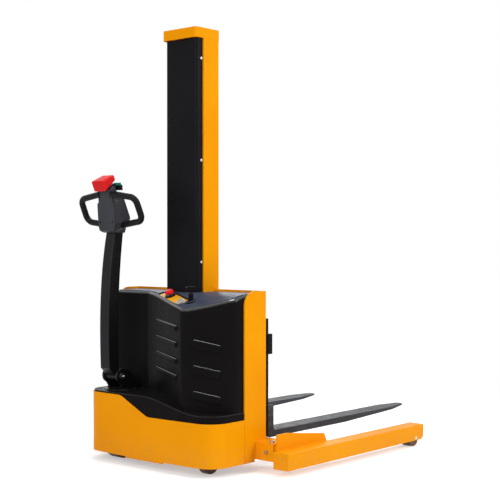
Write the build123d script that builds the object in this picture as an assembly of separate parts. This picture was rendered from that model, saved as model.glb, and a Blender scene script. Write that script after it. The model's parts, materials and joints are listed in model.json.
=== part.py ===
"""Walkie straddle stacker: mono mast, offset tiller, sliding straddle legs.

Millimetres, +X towards the fork tips, +Y to the left, +Z up, floor at Z = 0.
Pieces are drawn from the mast cap's rear edge and shifted at the end, so that the
origin lies on the floor under the middle of the whole truck.
"""
from build123d import *
import math
import os

# Body
BODY_WIDTH = 800.0
GROUND_CLEARANCE = 42.0
SIDE_PLATE = 8.0
SIDE_REAR = -5.0
SIDE_DEPTH = 140.0
SIDE_TOP = 782.0
SHOULDER_RADIUS = 65.0
FRONT_PANEL = 8.0
FLOOR_PLATE = 8.0
FLOOR_TOP = 230.0
DECK_TOP = 300.0
DECK_EDGE = 90.0
SHEET = 4.0
PANEL_GAP = 0.3
RUN_GAP = 0.05
SLIDE_GAP = 0.5

# Rear skirt and hood
SKIRT_REAR = -206.0
SKIRT_BULGE = 14.0
SKIRT_CORNER = 95.0
SKIRT_HIGH = 312.0
SKIRT_LOW = 230.0
SKIRT_STEP_LEFT = 156.0
SKIRT_STEP_RIGHT = -17.0
SKIRT_STEP_ROUND = 60.0
LIP_LEFT = 127.0
LIP_RIGHT = -111.0
LIP_DROP = 7.0
LIP_HEIGHT = 40.0
CREST_HIGH = 319.0
CREST_LOW = 262.0
CREST_LEFT = 30.0
CREST_RIGHT = -320.0
HOOD_WALL_X = -6.0
HOOD_TURN_Y = 190.0
HOOD_NOSE_X = -190.0
HOOD_NOSE_Y = -200.0
HOOD_BULGE_X = -131.0
HOOD_BULGE_Y = -300.0
HOOD_SIDE_X = -58.0
HOOD_TURN_ROUND = 60.0
HOOD_NOSE_ROUND = 45.0
HOOD_SIDE_ROUND = 50.0
HOOD_TOP = 772.0
HOOD_SLOPE = 20.0
HOOD_SIDE_GAP = 1.0
HOOD_LAP = 18.0
HOOD_EDGE = 22.0
HOOD_CREASE = 250.0
HOOD_ROOF = 18.0
TRAY_SINK = 9.0
TRAY_FROM = -90.0
TRAY_TO = 176.0
TRAY_MARGIN = 4.0
TRAY_CORNER = 25.0
SLAT_LENGTH = 258.0
SLAT_HEIGHT = 26.0
SLAT_PITCH = 71.0
SLAT_TOP = 643.0
SLAT_COUNT = 4
SLAT_MIDDLE = 0.567
SLAT_DROOP = 3.3
VENT_LENGTH = 126.0
VENT_HEIGHT = 38.0
VENT_PITCH = 110.0
VENT_TOP = 570.0
VENT_COUNT = 3
VENT_DROOP = 12.0
VENT_SHIFT = -7.0
LOUVRE_PROUD = 8.0
LOUVRE_SKIN = 3.0
LOUVRE_ROUND = 9.0
LOUVRE_ROLL = 7.0

# Mast
MAST_HEIGHT = 1960.0
MAST_WIDTH = 212.0
COLUMN_REAR = 52.0
COLUMN_DEPTH = 98.0
COLUMN_WEB = 8.0
COLUMN_FLANGE = 10.0
COLUMN_REACH = 45.0
FOOT_TOP = 60.0
FOOT_PLATE = 10.0
FOOT_MARGIN = 9.0
CAP_HEIGHT = 47.0
CAP_FRONT_LIP = 2.0
CAP_CORNER = 14.0
COVER_REAR = 14.0
COVER_HALF = 98.0
COVER_SHEET = 3.0
COVER_CORNER = 14.0
COVER_BOTTOM = 700.0
LUG_DEPTH = 20.0
LUG_WIDTH = 11.0
LUG_HEIGHT = 24.0
SCREW_COUNT = 3
SCREW_LOW_INSET = 206.0
SCREW_HIGH_INSET = 92.0
SCREW_RADIUS = 3.0
SCREW_HEAD_RADIUS = 6.5
SCREW_HEAD = 3.5

# Lift cylinder and chain
CYLINDER_X = 62.0
BARREL_RADIUS = 28.0
BARREL_BORE = 24.0
BARREL_TOP = 1000.0
BARREL_BASE = 16.0
GLAND = 22.0
ROD_RADIUS = 16.0
PISTON = 30.0
PISTON_REST = 120.0
SHEAVE_Z = 1148.0
SHEAVE_RADIUS = 30.0
SHEAVE_WIDTH = 20.0
SHEAVE_PIN = 8.0
YOKE_CHEEK = 8.0
YOKE_CHEEK_GAP = 2.0
YOKE_HALF_DEPTH = 20.0
YOKE_CROWN = 14.0
CHAIN_THICK = 9.0
CHAIN_WIDTH = 16.0
ANCHOR_TOP = 985.0
ANCHOR_HEIGHT = 26.0
ANCHOR_WALL = 8.0

# Carriage
ROLLER_WIDTH = 24.0
ROLLER_SIDE_GAP = 2.0
ROLLER_LOW_Z = 185.0
ROLLER_HIGH_Z = 425.0
ROLLER_PIN = 10.0
CHEEK_THICK = 14.0
CHEEK_GAP = 3.0
CHEEK_REAR = 72.0
CHEEK_BOTTOM = 145.0
CHEEK_SHOULDER = 464.0
CHEEK_STEP = 158.0
BAR_REAR = 190.0
BAR_THICK = 32.0
BAR_LOW_HALF = 330.0
BAR_HIGH_HALF = 365.0
BAR_LOW = (180.0, 260.0)
BAR_HIGH = (497.0, 587.0)
TIE_REAR = 92.5
TIE_DEPTH = 20.0
TIE_Z = (310.0, 340.0)

# Forks
FORK_SPREAD = 680.0
FORK_WIDTH = 100.0
FORK_LENGTH = 1100.0
FORK_THICK = 30.0
FORK_BOTTOM = 118.0
FORK_TIP = 9.0
FORK_TAPER = 560.0
FORK_NOSE_LENGTH = 140.0
FORK_NOSE_WIDTH = 40.0
HEEL_THICK = 40.0
HEEL_TOP = 264.0
HEEL_ROUND = 16.0
HANGER_WIDTH = 60.0
HANGER_THICK = 27.0
HANGER_TOP = 652.0
HOOK_HEIGHT = 24.0
HOOK_LIP = 9.0
HOOK_DROP = 27.0

# Straddle legs
LEG_OUTER = 605.0
LEG_WIDTH = 80.0
LEG_REAR = 35.0
LEG_LENGTH = 1060.0
LEG_BOTTOM = 30.0
LEG_TOP = 102.0
LEG_WALL = 8.0
LEG_NOSE = 26.0
SOCKET_REAR = 60.0
SOCKET_DEPTH = 125.0
SOCKET_BOTTOM = 54.0
SOCKET_HEIGHT = 75.0
SOCKET_WALL = 6.0
SOCKET_SETBACK = 20.0
STUB_INNER = 125.0
GUSSET = 8.0
GUSSET_REAR = 62.0
GUSSET_TOP = 172.0
GUSSET_FLAT = 70.0
GUSSET_KNEE = (333.0, 138.0)
GUSSET_LENGTH = 350.0
CLAMP_BOLT_RADIUS = 6.0
CLAMP_BOLT_HEAD = 8.0
CLAMP_BOLT_HEX = 10.0
CLAMP_BOLT_INSET = 38.0
LOAD_WHEEL_RADIUS = 42.0
LOAD_WHEEL_WIDTH = 54.0
LOAD_WHEEL_SETBACK = 66.0
LOAD_WHEEL_POCKET = 52.0
LOAD_AXLE = 8.0

# Steered drive unit
STEER_X = -90.0
STEER_INSET = 120.0
DRIVE_RADIUS = 95.0
DRIVE_WIDTH = 60.0
DRIVE_HUB_RADIUS = 75.0
DRIVE_CAVITY = 46.0
DRIVE_SIDE_WALL = 4.0
MOTOR_GAP = 2.0
DRIVE_AXLE = 12.0
YOKE_SIDE = 12.0
YOKE_WHEEL_GAP = 4.0
YOKE_HALF_LENGTH = 45.0
YOKE_TOP = 283.5
YOKE_DISC = 21.5
YOKE_DISC_RADIUS = 70.0
STEER_POST = 55.0
BEARING_RADIUS = 75.0
BEARING_BOTTOM = 284.0
BEARING_TOP = 304.0
TABLE_BOTTOM = 312.0
TABLE_THICK = 10.0
TABLE_RADIUS = 80.0
TABLE_GAP = 4.0

# Tiller
PIVOT_X = -136.0
PIVOT_Z = 384.0
PIVOT_PIN = 10.0
PIN_HEAD = 8.0
PIN_HEAD_RADIUS = 13.0
BRACKET_CHEEK = 12.0
BRACKET_INNER = 38.0
BRACKET_EYE = 33.0
BRACKET_REAR = -125.0
BRACKET_FRONT = -40.0
BRACKET_FRONT_TOP = 345.0
BRACKET_SHOULDER = (-86.0, 408.0)
ARM_WIDTH = 58.0
ARM_DEPTH = 60.0
ARM_WALL = 5.0
ARM_EYE = 23.0
ARM_EYE_GAP = 0.5
ARM_FOOT = (-166.0, 421.0)
ARM_KNEE = (-170.0, 586.0)
ARM_BOW = (-163.0, 800.0)
ARM_TOP = (-131.0, 1062.0)
ARM_TOP_DEPTH = 48.0
HEAD_FOOT = (-134.0, 1037.0)
HEAD_TILT = 24.0
HEAD_HALF = 55.0
HEAD_FRONT = 70.0
HEAD_SHOULDER = 146.0
NECK_HALF = 45.0
NECK_FRONT = 50.0
NECK_FROM = 152.0
NECK_REAR = 21.0
NECK_TOP = 208.0
NECK_RISE = 9.0
HEAD_OUTLINE = (
    (30.0, -24.0),
    (33.0, 8.0),
    (46.0, 24.0),
    (HEAD_HALF, 50.0),
    (HEAD_HALF, HEAD_SHOULDER),
    (NECK_HALF, NECK_FROM),
    (NECK_HALF, NECK_TOP + 2 * NECK_RISE),
)
HEAD_PROFILE = (
    (15.0, -29.0),
    (30.0, -41.0),
    (NECK_FROM, 3.0),
    (NECK_TOP, NECK_REAR),
    (NECK_TOP + NECK_RISE, NECK_FRONT),
    (NECK_FROM, NECK_FRONT),
    (HEAD_SHOULDER, HEAD_FRONT),
    (41.0, HEAD_FRONT),
    (-13.0, 31.0),
)
HEAD_ROUND = 8.0
LOOP_RADIUS = 14.5
LOOP_LEVEL = 22.0
LOOP_ROUTE = ((37.0, 185.0), (183.0, 162.0), (185.0, 50.0), (40.0, 30.0))
LOOP_BEND = 36.0
BELLY_HALF = 38.0
BELLY_REAR = -9.0
BELLY_FRONT = 73.0
BELLY_GAP = 0.6
BELLY_RISE = 28.0
BELLY_TO = 259.0
BELLY_ROUND = 8.0
BELLY_NECK_AT = 36.0
BELLY_NECK_HALF = 20.0
BELLY_NECK_THICK = 16.0
BELLY_NECK_DEPTH = 36.0
BELLY_TRAVEL = 6.0
PADDLE_SHAFT = 5.0
PADDLE_U = 202.0
PADDLE_RAISE = 18.0
PADDLE_REACH = 18.0
PADDLE_HUB = 9.0
PADDLE_THICK = 9.0
PADDLE_WIDTH = 40.0
PADDLE_GAP = 2.0
PADDLE_MOUNT_HALF = 22.0
PADDLE_MOUNT_MARGIN = 9.0
BUTTON_RADIUS = 9.0
BUTTON_PROUD = 5.0
BUTTON_DEPTH = 12.0
BUTTON_TRAVEL = 3.0
BUTTON_FLOOR = 1.0
BUTTON_FIT = 0.1
LIFT_BUTTON_AT = (28.0, 104.0)
LOWER_BUTTON_AT = (-28.0, 104.0)
HORN_BUTTON_AT = (0.0, 120.0)

# Caster
CASTER_X = -75.0
CASTER_INSET = 120.0
CASTER_TRAIL = 30.0
CASTER_RADIUS = 50.0
CASTER_WIDTH = 38.0
CASTER_AXLE = 7.0
CASTER_CHEEK = 6.0
CASTER_CHEEK_GAP = 3.0
CASTER_CROWN_Z = 110.0
CASTER_CROWN = 10.0
CASTER_STEM = 20.0
CASTER_STEM_TOP = 226.0
CASTER_BOSS = 34.0
CASTER_BOSS_BOTTOM = 124.0
CASTER_EYE = 16.0

# Console on the hood
ESTOP_X = -40.0
ESTOP_Y = 15.0
PLATE_FROM = -72.0
PLATE_TO = 164.0
PLATE_HALF = 27.0
PLATE_THICK = 2.0
ESTOP_BASE_RADIUS = 24.0
ESTOP_BASE = 8.0
ESTOP_KNOB_RADIUS = 20.0
ESTOP_KNOB = 16.0
ESTOP_GAP = 6.0
ESTOP_STEM = 6.0
ESTOP_TRAVEL = 5.0
GAUGE_AT = 140.0
GAUGE_ASIDE = -7.0
GAUGE_RADIUS = 18.0
GAUGE_TILT = 20.0
GAUGE_LIP = 2.0
GAUGE_BEZEL = 3.0
KEY_AT = 202.0
KEY_ASIDE = 20.0
KEY_FLANGE_RADIUS = 21.0
KEY_FLANGE = 5.0
KEY_BARREL_RADIUS = 11.0
KEY_BARREL = 38.0
KEY_STEM = 4.5
KEY_DEPTH = 20.0
KEY_NECK = 9.0
KEY_BOW_WIDTH = 44.0
KEY_BOW_HEIGHT = 20.0
KEY_BOW_THICK = 8.0

# Power pack
BATTERY_DEPTH = 168.0
BATTERY_HEIGHT = 211.0
BATTERY_REAR = -60.0
BATTERY_SIDE_GAP = 16.0
BATTERY_INNER_GAP = 6.0
CONTROLLER_DEPTH = 60.0
CONTROLLER_WIDTH = 110.0
CONTROLLER_HEIGHT = 180.0
CONTROLLER_REAR = -85.0
CONTROLLER_RIGHT = -110.0
TANK_DEPTH = 108.0
TANK_HEIGHT = 250.0
TANK_REAR = 12.0
TANK_SIDE_GAP = 10.0
TANK_INNER_GAP = 17.0
PUMP_RADIUS = 55.0
PUMP_X = 66.0
PUMP_Y = 180.0
PUMP_BLOCK = 70.0
PUMP_HEIGHT = 290.0

# Places worked out from the sizes above
HALF_BODY = BODY_WIDTH / 2
OBLIQUE_TURN = math.degrees(math.atan2(HOOD_WALL_X - HOOD_NOSE_X, HOOD_TURN_Y - HOOD_NOSE_Y))
HALF_MAST = MAST_WIDTH / 2
INNER_SIDE = HALF_BODY - SIDE_PLATE
DECK_INSET = SHEET + PANEL_GAP
LAP_FRONT = HOOD_WALL_X + HOOD_LAP
SIDE_FRONT = SIDE_REAR + SIDE_DEPTH
PANEL_REAR = SIDE_FRONT - FRONT_PANEL
COLUMN_FRONT = COLUMN_REAR + COLUMN_DEPTH
COLUMN_TOP = MAST_HEIGHT - CAP_HEIGHT
COLUMN_TIP = HALF_MAST - COLUMN_REACH
SCREW_LOWEST = COVER_BOTTOM + SCREW_LOW_INSET
SCREW_PITCH = (COLUMN_TOP - SCREW_HIGH_INSET - SCREW_LOWEST) / (SCREW_COUNT - 1)
SCREW_HEIGHTS = [SCREW_LOWEST + row * SCREW_PITCH for row in range(SCREW_COUNT)]
ROLLER_X = COLUMN_REAR + COLUMN_DEPTH / 2
ROLLER_RADIUS = COLUMN_DEPTH / 2 - COLUMN_FLANGE - PANEL_GAP
ROLLER_OUTER = HALF_MAST - COLUMN_WEB - ROLLER_SIDE_GAP
CHEEK_OUTER = COLUMN_TIP - CHEEK_GAP
CHEEK_INNER = CHEEK_OUTER - CHEEK_THICK
BAR_FRONT = BAR_REAR + BAR_THICK
HEEL_REAR = BAR_FRONT + SLIDE_GAP
HEEL_FRONT = HEEL_REAR + HEEL_THICK
FORK_TOP = FORK_BOTTOM + FORK_THICK
FORK_END = HEEL_FRONT + FORK_LENGTH
FORK_CENTRE = (FORK_SPREAD - FORK_WIDTH) / 2
LEG_INNER = LEG_OUTER - LEG_WIDTH
SOCKET_END = LEG_INNER - SOCKET_SETBACK
LEG_FRONT = LEG_REAR + LEG_LENGTH
LEG_CENTRE = (LEG_OUTER + LEG_INNER) / 2
LOAD_WHEEL_X = LEG_FRONT - LOAD_WHEEL_SETBACK
SOCKET_FRONT = SOCKET_REAR + SOCKET_DEPTH
SOCKET_TOP = SOCKET_BOTTOM + SOCKET_HEIGHT
STEER_Y = HALF_BODY - STEER_INSET
YOKE_INNER = DRIVE_WIDTH / 2 + YOKE_WHEEL_GAP
YOKE_OUTER = YOKE_INNER + YOKE_SIDE
BRACKET_OUTER = BRACKET_INNER + BRACKET_CHEEK
CHAIN_RADIUS = SHEAVE_RADIUS + PANEL_GAP
BUTTON_POCKET = BUTTON_DEPTH + BUTTON_TRAVEL + BUTTON_FLOOR
BELLY_SLOPE = BELLY_RISE / (BELLY_FRONT - BELLY_REAR)
BELLY_FROM = NECK_TOP + BELLY_TRAVEL + BELLY_GAP - BELLY_SLOPE * (NECK_REAR - BELLY_REAR)
CASTER_Y = CASTER_INSET - HALF_BODY
CASTER_WHEEL_X = CASTER_X - CASTER_TRAIL
BEYOND = 2000.0


def block(x, y, z):
    """Box between a low and a high value on each axis."""
    middle = Pos((x[0] + x[1]) / 2, (y[0] + y[1]) / 2, (z[0] + z[1]) / 2)
    return middle * Box(abs(x[1] - x[0]), abs(y[1] - y[0]), abs(z[1] - z[0]))


def round_z(x, y, z, radius):
    """Upright cylinder from z[0] to z[1]."""
    return Pos(x, y, (z[0] + z[1]) / 2) * Cylinder(radius, z[1] - z[0])


def round_y(x, z, y, radius):
    """Cylinder across the truck from y[0] to y[1]."""
    return Pos(x, (y[0] + y[1]) / 2, z) * Rot(90, 0, 0) * Cylinder(radius, abs(y[1] - y[0]))


def side_slab(points, y, curve=Polyline):
    """Closed outline of (x, z) points, extruded across the truck from y[0] to y[1]."""
    outline = Plane.XZ * make_face(curve(*points, close=True))
    return Pos(0, y[0], 0) * extrude(outline, -(y[1] - y[0]))


def to_right(shape):
    """The same piece on the truck's other side."""
    return mirror(shape, about=Plane.XZ)


def body_plan(inset):
    """Plan of the rear body: straight sides, round corners and a slightly bowed back."""
    side = HALF_BODY - inset
    rear = SKIRT_REAR + inset
    front = SIDE_REAR - HOOD_SIDE_GAP
    left = Line((front, side), (rear, side))
    back = ThreePointArc((rear, side), (rear - SKIRT_BULGE, 0), (rear, -side))
    right = Line((rear, -side), (front, -side))
    plan = make_face([left, back, right, Line((front, -side), (front, side))])
    corners = plan.vertices().sort_by(Axis.X)[:2]
    return fillet(corners, SKIRT_CORNER - inset)


def above_skirt(lift):
    """Everything above the skirt's stepped top edge, raised by lift."""
    edge = FilletPolyline(
        (HALF_BODY * 2, SKIRT_HIGH + lift),
        (SKIRT_STEP_LEFT, SKIRT_HIGH + lift),
        (SKIRT_STEP_RIGHT, SKIRT_LOW + lift),
        (-HALF_BODY * 2, SKIRT_LOW + lift),
        radius=SKIRT_STEP_ROUND,
    )
    roof = Polyline(edge @ 1, (-HALF_BODY * 2, BEYOND), (HALF_BODY * 2, BEYOND), edge @ 0)
    return extrude(Plane.YZ * make_face([edge, roof]), BEYOND, both=True)


def above_crest(lift):
    """Everything above the deck, which falls in a wave towards the right."""
    high = (CREST_LEFT, CREST_HIGH + lift)
    low = (CREST_RIGHT, CREST_LOW + lift)
    wave = Spline(high, low, tangents=[(-1, 0), (-1, 0)])
    left = Line((HALF_BODY * 2, CREST_HIGH + lift), wave @ 0)
    right = Line(wave @ 1, (-HALF_BODY * 2, CREST_LOW + lift))
    roof = Polyline(right @ 1, (-HALF_BODY * 2, BEYOND), (HALF_BODY * 2, BEYOND), left @ 0)
    return extrude(Plane.YZ * make_face([left, wave, right, roof]), BEYOND, both=True)


def above_hood(lift):
    """Everything above the hood's top, which is level in front and bends down to the rear."""
    top = HOOD_TOP + lift
    drop = BEYOND * math.tan(math.radians(HOOD_SLOPE))
    rear = (HOOD_WALL_X - BEYOND, top - drop)
    bend = FilletPolyline((BEYOND, top), (HOOD_WALL_X, top), rear, radius=HOOD_CREASE)
    roof = Polyline(bend @ 1, (HOOD_WALL_X - BEYOND, BEYOND), (BEYOND, BEYOND), bend @ 0)
    return extrude(Plane.XZ * make_face([bend, roof]), BEYOND, both=True)


def hood_plan(inset):
    """Plan of the hood: lapped round the left side plate, then oblique, then bulged at the right."""
    side = INNER_SIDE - HOOD_SIDE_GAP
    front = PANEL_REAR - HOOD_SIDE_GAP
    left = Polyline(
        (front, side),
        (LAP_FRONT, side),
        (LAP_FRONT, HALF_BODY),
        (HOOD_WALL_X, HALF_BODY),
        (HOOD_WALL_X, HOOD_TURN_Y),
        (HOOD_NOSE_X, HOOD_NOSE_Y),
    )
    bulge = ThreePointArc((HOOD_NOSE_X, HOOD_NOSE_Y), (HOOD_BULGE_X, HOOD_BULGE_Y), (HOOD_SIDE_X, -side))
    right = Polyline((HOOD_SIDE_X, -side), (front, -side), (front, side))
    plan = make_face([left, bulge, right])
    turn = plan.vertices().sort_by_distance((HOOD_WALL_X, HOOD_TURN_Y, 0))[:1]
    plan = fillet(turn, HOOD_TURN_ROUND)
    nose = plan.vertices().sort_by_distance((HOOD_NOSE_X, HOOD_NOSE_Y, 0))[:1]
    plan = fillet(nose, HOOD_NOSE_ROUND)
    end = plan.vertices().sort_by_distance((HOOD_SIDE_X, -side, 0))[:1]
    plan = fillet(end, HOOD_SIDE_ROUND)
    return offset(plan, -inset, kind=Kind.INTERSECTION) if inset else plan


def mast_well():
    """Space through floor and hood that the mast and its cover stand in."""
    half = HALF_MAST + HOOD_SIDE_GAP
    return block((COVER_REAR - TABLE_GAP, BEYOND), (-half, half), (-BEYOND, BEYOND))


def chassis_frame():
    """Weldment of side plates, front panel, floor, leg sockets and mast foot."""
    plate = side_slab(
        [
            (SIDE_REAR, GROUND_CLEARANCE),
            (SOCKET_REAR, GROUND_CLEARANCE),
            (SOCKET_REAR, SOCKET_BOTTOM),
            (SIDE_FRONT, SOCKET_BOTTOM),
            (SIDE_FRONT, SIDE_TOP),
            (SIDE_REAR, SIDE_TOP),
        ],
        (INNER_SIDE, HALF_BODY),
    )
    shoulder = plate.edges().filter_by(Axis.Y).group_by(Axis.X)[0].sort_by(Axis.Z)[-1]
    plate = fillet(shoulder, SHOULDER_RADIUS)
    panel = block((PANEL_REAR, SIDE_FRONT), (HALF_MAST, INNER_SIDE), (SOCKET_TOP, SIDE_TOP))
    socket = block((SOCKET_REAR, SOCKET_FRONT), (HALF_MAST, SOCKET_END), (SOCKET_BOTTOM, SOCKET_TOP))
    left = plate + panel + socket
    foot_half = HALF_MAST + FOOT_MARGIN
    foot = block((SOCKET_REAR, COLUMN_FRONT), (-foot_half, foot_half), (FOOT_TOP - FOOT_PLATE, FOOT_TOP))
    frame = left + to_right(left) + foot

    lap_bottom = CREST_HIGH - SHEET - PANEL_GAP
    frame -= block((SIDE_REAR, LAP_FRONT + PANEL_GAP), (INNER_SIDE, HALF_BODY), (lap_bottom, BEYOND))
    front_space = block((SIDE_REAR - HOOD_SIDE_GAP, SIDE_FRONT), (-HALF_BODY, HALF_BODY), (-BEYOND, BEYOND))
    in_skirt = extrude(body_plan(DECK_INSET), BEYOND, both=True) + front_space
    in_hood = extrude(body_plan(2 * DECK_INSET), BEYOND, both=True) + front_space
    low_floor = block((-BEYOND, PANEL_REAR), (-HALF_BODY, DECK_EDGE), (FLOOR_TOP - FLOOR_PLATE, FLOOR_TOP))
    deck = block((-BEYOND, PANEL_REAR), (DECK_EDGE, HALF_BODY), (DECK_TOP - FLOOR_PLATE, DECK_TOP))
    riser_y = (DECK_EDGE, DECK_EDGE + FLOOR_PLATE)
    riser = block((-BEYOND, PANEL_REAR), riser_y, (FLOOR_TOP - FLOOR_PLATE, DECK_TOP))
    floor = (low_floor & in_skirt) + ((deck + riser) & in_hood)
    frame += floor - mast_well()
    frame += round_z(CASTER_X, CASTER_Y, (CASTER_BOSS_BOTTOM, FLOOR_TOP), CASTER_BOSS)

    opening = block(
        (SOCKET_REAR + SOCKET_WALL, SOCKET_FRONT - SOCKET_WALL),
        (HALF_MAST, BEYOND),
        (SOCKET_BOTTOM + SOCKET_WALL, SOCKET_TOP - SOCKET_WALL),
    )
    for cut in (opening, *clamp_bolt_shanks(RUN_GAP), *clamp_bolt_heads(PANEL_GAP)):
        frame -= cut
        frame -= to_right(cut)
    frame -= round_z(CASTER_X, CASTER_Y, (-BEYOND, CASTER_STEM_TOP + CASTER_CHEEK_GAP), CASTER_STEM + RUN_GAP)
    frame -= round_z(STEER_X, STEER_Y, (DECK_TOP - 2 * FLOOR_PLATE, BEYOND), BEARING_RADIUS)
    return frame


def clamp_bolt_shanks(grow):
    """Two upright and one level clamp bolt at the left socket's mouth."""
    y = SOCKET_END - CLAMP_BOLT_INSET
    shanks = []
    for x in (SOCKET_REAR + CLAMP_BOLT_INSET, SOCKET_FRONT - CLAMP_BOLT_INSET):
        shanks.append(round_z(x, y, (SOCKET_TOP - SOCKET_WALL, SOCKET_TOP), CLAMP_BOLT_RADIUS + grow))
    middle = Pos(SOCKET_REAR + SOCKET_WALL / 2, y, SOCKET_BOTTOM + SOCKET_HEIGHT / 2)
    shanks.append(middle * Rot(0, 90, 0) * Cylinder(CLAMP_BOLT_RADIUS + grow, SOCKET_WALL))
    return shanks


def clamp_bolt_heads(grow):
    """Hexagon heads of the left socket's clamp bolts, widened by grow."""
    y = SOCKET_END - CLAMP_BOLT_INSET
    head = extrude(RegularPolygon(CLAMP_BOLT_HEX + grow, 6), CLAMP_BOLT_HEAD + grow)
    return [
        Pos(SOCKET_REAR + CLAMP_BOLT_INSET, y, SOCKET_TOP) * head,
        Pos(SOCKET_FRONT - CLAMP_BOLT_INSET, y, SOCKET_TOP) * head,
        Pos(SOCKET_REAR, y, SOCKET_BOTTOM + SOCKET_HEIGHT / 2) * Rot(0, -90, 0) * head,
    ]


def leg_clamp_bolts():
    """Hexagon bolts that hold the leg stubs in their sockets."""
    left = [shank + head for shank, head in zip(clamp_bolt_shanks(0), clamp_bolt_heads(0))]
    return Compound(left + [to_right(bolt) for bolt in left])


def rear_skirt():
    """Pressed steel skirt round the drive wheel and the caster, higher under the tiller."""
    tall = SKIRT_HIGH - GROUND_CLEARANCE
    outer = Pos(0, 0, GROUND_CLEARANCE) * extrude(body_plan(0), tall)
    inner = extrude(body_plan(SHEET), BEYOND, both=True)
    half = HALF_BODY - SHEET
    front = block((SIDE_REAR - HOOD_SIDE_GAP - SHEET, BEYOND), (-half, half), (-BEYOND, BEYOND))
    lip_z = (GROUND_CLEARANCE - LIP_DROP, GROUND_CLEARANCE - LIP_DROP + LIP_HEIGHT)
    lip = inner - extrude(body_plan(2 * SHEET), BEYOND, both=True)
    lip &= block((-BEYOND, SKIRT_REAR / 2), (LIP_RIGHT, LIP_LEFT), lip_z)
    return outer - inner - front - above_skirt(0) + lip


def louvre_places():
    """Planes on the hood's faces, one for each slot, with the slot's length and height."""
    along = Vector(HOOD_NOSE_X - HOOD_WALL_X, HOOD_NOSE_Y - HOOD_TURN_Y, 0)
    middle = Vector(HOOD_WALL_X, HOOD_TURN_Y, 0) + along * SLAT_MIDDLE
    outward = Vector(along.Y, -along.X, 0)
    places = []
    for row in range(SLAT_COUNT):
        z = SLAT_TOP - SLAT_HEIGHT / 2 - row * SLAT_PITCH
        face = Plane((middle.X, middle.Y, z), x_dir=along, z_dir=outward)
        places.append((face * Rot(0, 0, -SLAT_DROOP), SLAT_LENGTH, SLAT_HEIGHT))
    chord = Vector(HOOD_SIDE_X - HOOD_NOSE_X, -HALF_BODY - HOOD_NOSE_Y, 0)
    for row in range(VENT_COUNT):
        z = VENT_TOP - VENT_HEIGHT / 2 - row * VENT_PITCH
        face = Plane((HOOD_BULGE_X, HOOD_BULGE_Y, z), x_dir=chord, z_dir=Vector(chord.Y, -chord.X, 0))
        places.append((face * Pos(VENT_SHIFT, 0, 0) * Rot(0, 0, -VENT_DROOP), VENT_LENGTH, VENT_HEIGHT))
    return places


def hood():
    """Moulded cover: walls, sloping top with a sunken tray, louvres and a deck that flares to the skirt."""
    tall = extrude(hood_plan(0), HOOD_TOP) & above_crest(-SHEET)
    upper = tall - above_hood(0)
    oblique = ((HOOD_WALL_X + HOOD_NOSE_X) / 2, (HOOD_TURN_Y + HOOD_NOSE_Y) / 2, HOOD_TOP)
    upper = fillet(upper.edges().sort_by_distance(oblique)[:1], HOOD_EDGE)
    hollow = extrude(hood_plan(SHEET), HOOD_TOP) - above_hood(-HOOD_ROOF)
    front = block((HOOD_WALL_X + SHEET, BEYOND), (-HALF_BODY, INNER_SIDE), (0, HOOD_TOP))
    front -= above_hood(-HOOD_ROOF)
    # The roof is thin only inside its rounded rim
    rim = HOOD_EDGE + SHEET
    front += block((HOOD_WALL_X + rim, BEYOND), (rim - INNER_SIDE, INNER_SIDE), (0, HOOD_TOP - SHEET))

    deck = extrude(body_plan(DECK_INSET), CREST_HIGH) - above_crest(0)
    deck = deck & above_skirt(PANEL_GAP)
    under = extrude(body_plan(DECK_INSET + SHEET), CREST_HIGH) - above_crest(-SHEET)
    half = HALF_BODY - DECK_INSET - SHEET
    open_front = block((HOOD_WALL_X - SHEET, BEYOND), (-half, half), (0, CREST_LOW - SHEET))
    deck = deck - under - open_front
    shell = upper + (deck - extrude(hood_plan(SHEET), CREST_HIGH))
    shell -= hollow + front + console_tray() + mast_well()
    shell -= round_z(STEER_X, STEER_Y, (0, CREST_HIGH + SHEET), TABLE_RADIUS + TABLE_GAP)
    for face, length, height in louvre_places():
        shell += face * louvre_pad(length, height)
        shell -= face * louvre_duct(length, height)
    return shell


def louvre_pad(length, height):
    """Raised pad with rounded corners that stands out of the hood's wall."""
    pad = fillet(Box(length, height, 2 * LOUVRE_PROUD).edges().filter_by(Axis.Z), LOUVRE_ROUND)
    return fillet(pad.faces().sort_by(Axis.Z)[-1].edges(), LOUVRE_ROLL)


def louvre_duct(length, height):
    """Air way from the hood's inside to the mouth at the pad's lower edge."""
    depth = 4 * LOUVRE_PROUD
    middle = LOUVRE_PROUD - LOUVRE_SKIN - depth / 2
    duct = Pos(0, 0, middle) * Box(length - 2 * LOUVRE_ROUND, height - 2 * LOUVRE_SKIN, depth)
    mouth = block(
        (LOUVRE_ROUND - length / 2, length / 2 - LOUVRE_ROUND),
        (-height / 2 - LOUVRE_SKIN, LOUVRE_SKIN - height / 2),
        (SLIDE_GAP, 2 * LOUVRE_PROUD),
    )
    return duct + mouth


def console_plane():
    """Plane of the sunken console floor, with X along the row of switches."""
    slope = math.radians(HOOD_SLOPE)
    floor = HOOD_TOP + (ESTOP_X - HOOD_WALL_X) * math.tan(slope) - TRAY_SINK
    normal = Vector(-math.sin(slope), 0, math.cos(slope))
    level = Plane((ESTOP_X, ESTOP_Y, floor), x_dir=(0, -1, 0), z_dir=normal)
    return level * Rot(0, 0, -OBLIQUE_TURN)


def console_tray():
    """Space of the sunken tray that the switch plate lies in, open at the top."""
    width = 2 * (PLATE_HALF + TRAY_MARGIN)
    outline = RectangleRounded(TRAY_TO - TRAY_FROM, width, TRAY_CORNER)
    return console_plane() * Pos((TRAY_FROM + TRAY_TO) / 2, 0, 0) * extrude(outline, HOOD_ROOF)


def switch_plate():
    """Yellow plate under the emergency stop and the gauge."""
    middle = (PLATE_FROM + PLATE_TO) / 2
    plate = Box(PLATE_TO - PLATE_FROM, PLATE_HALF * 2, PLATE_THICK)
    return console_plane() * Pos(middle, 0, PLATE_THICK / 2) * plate


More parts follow.
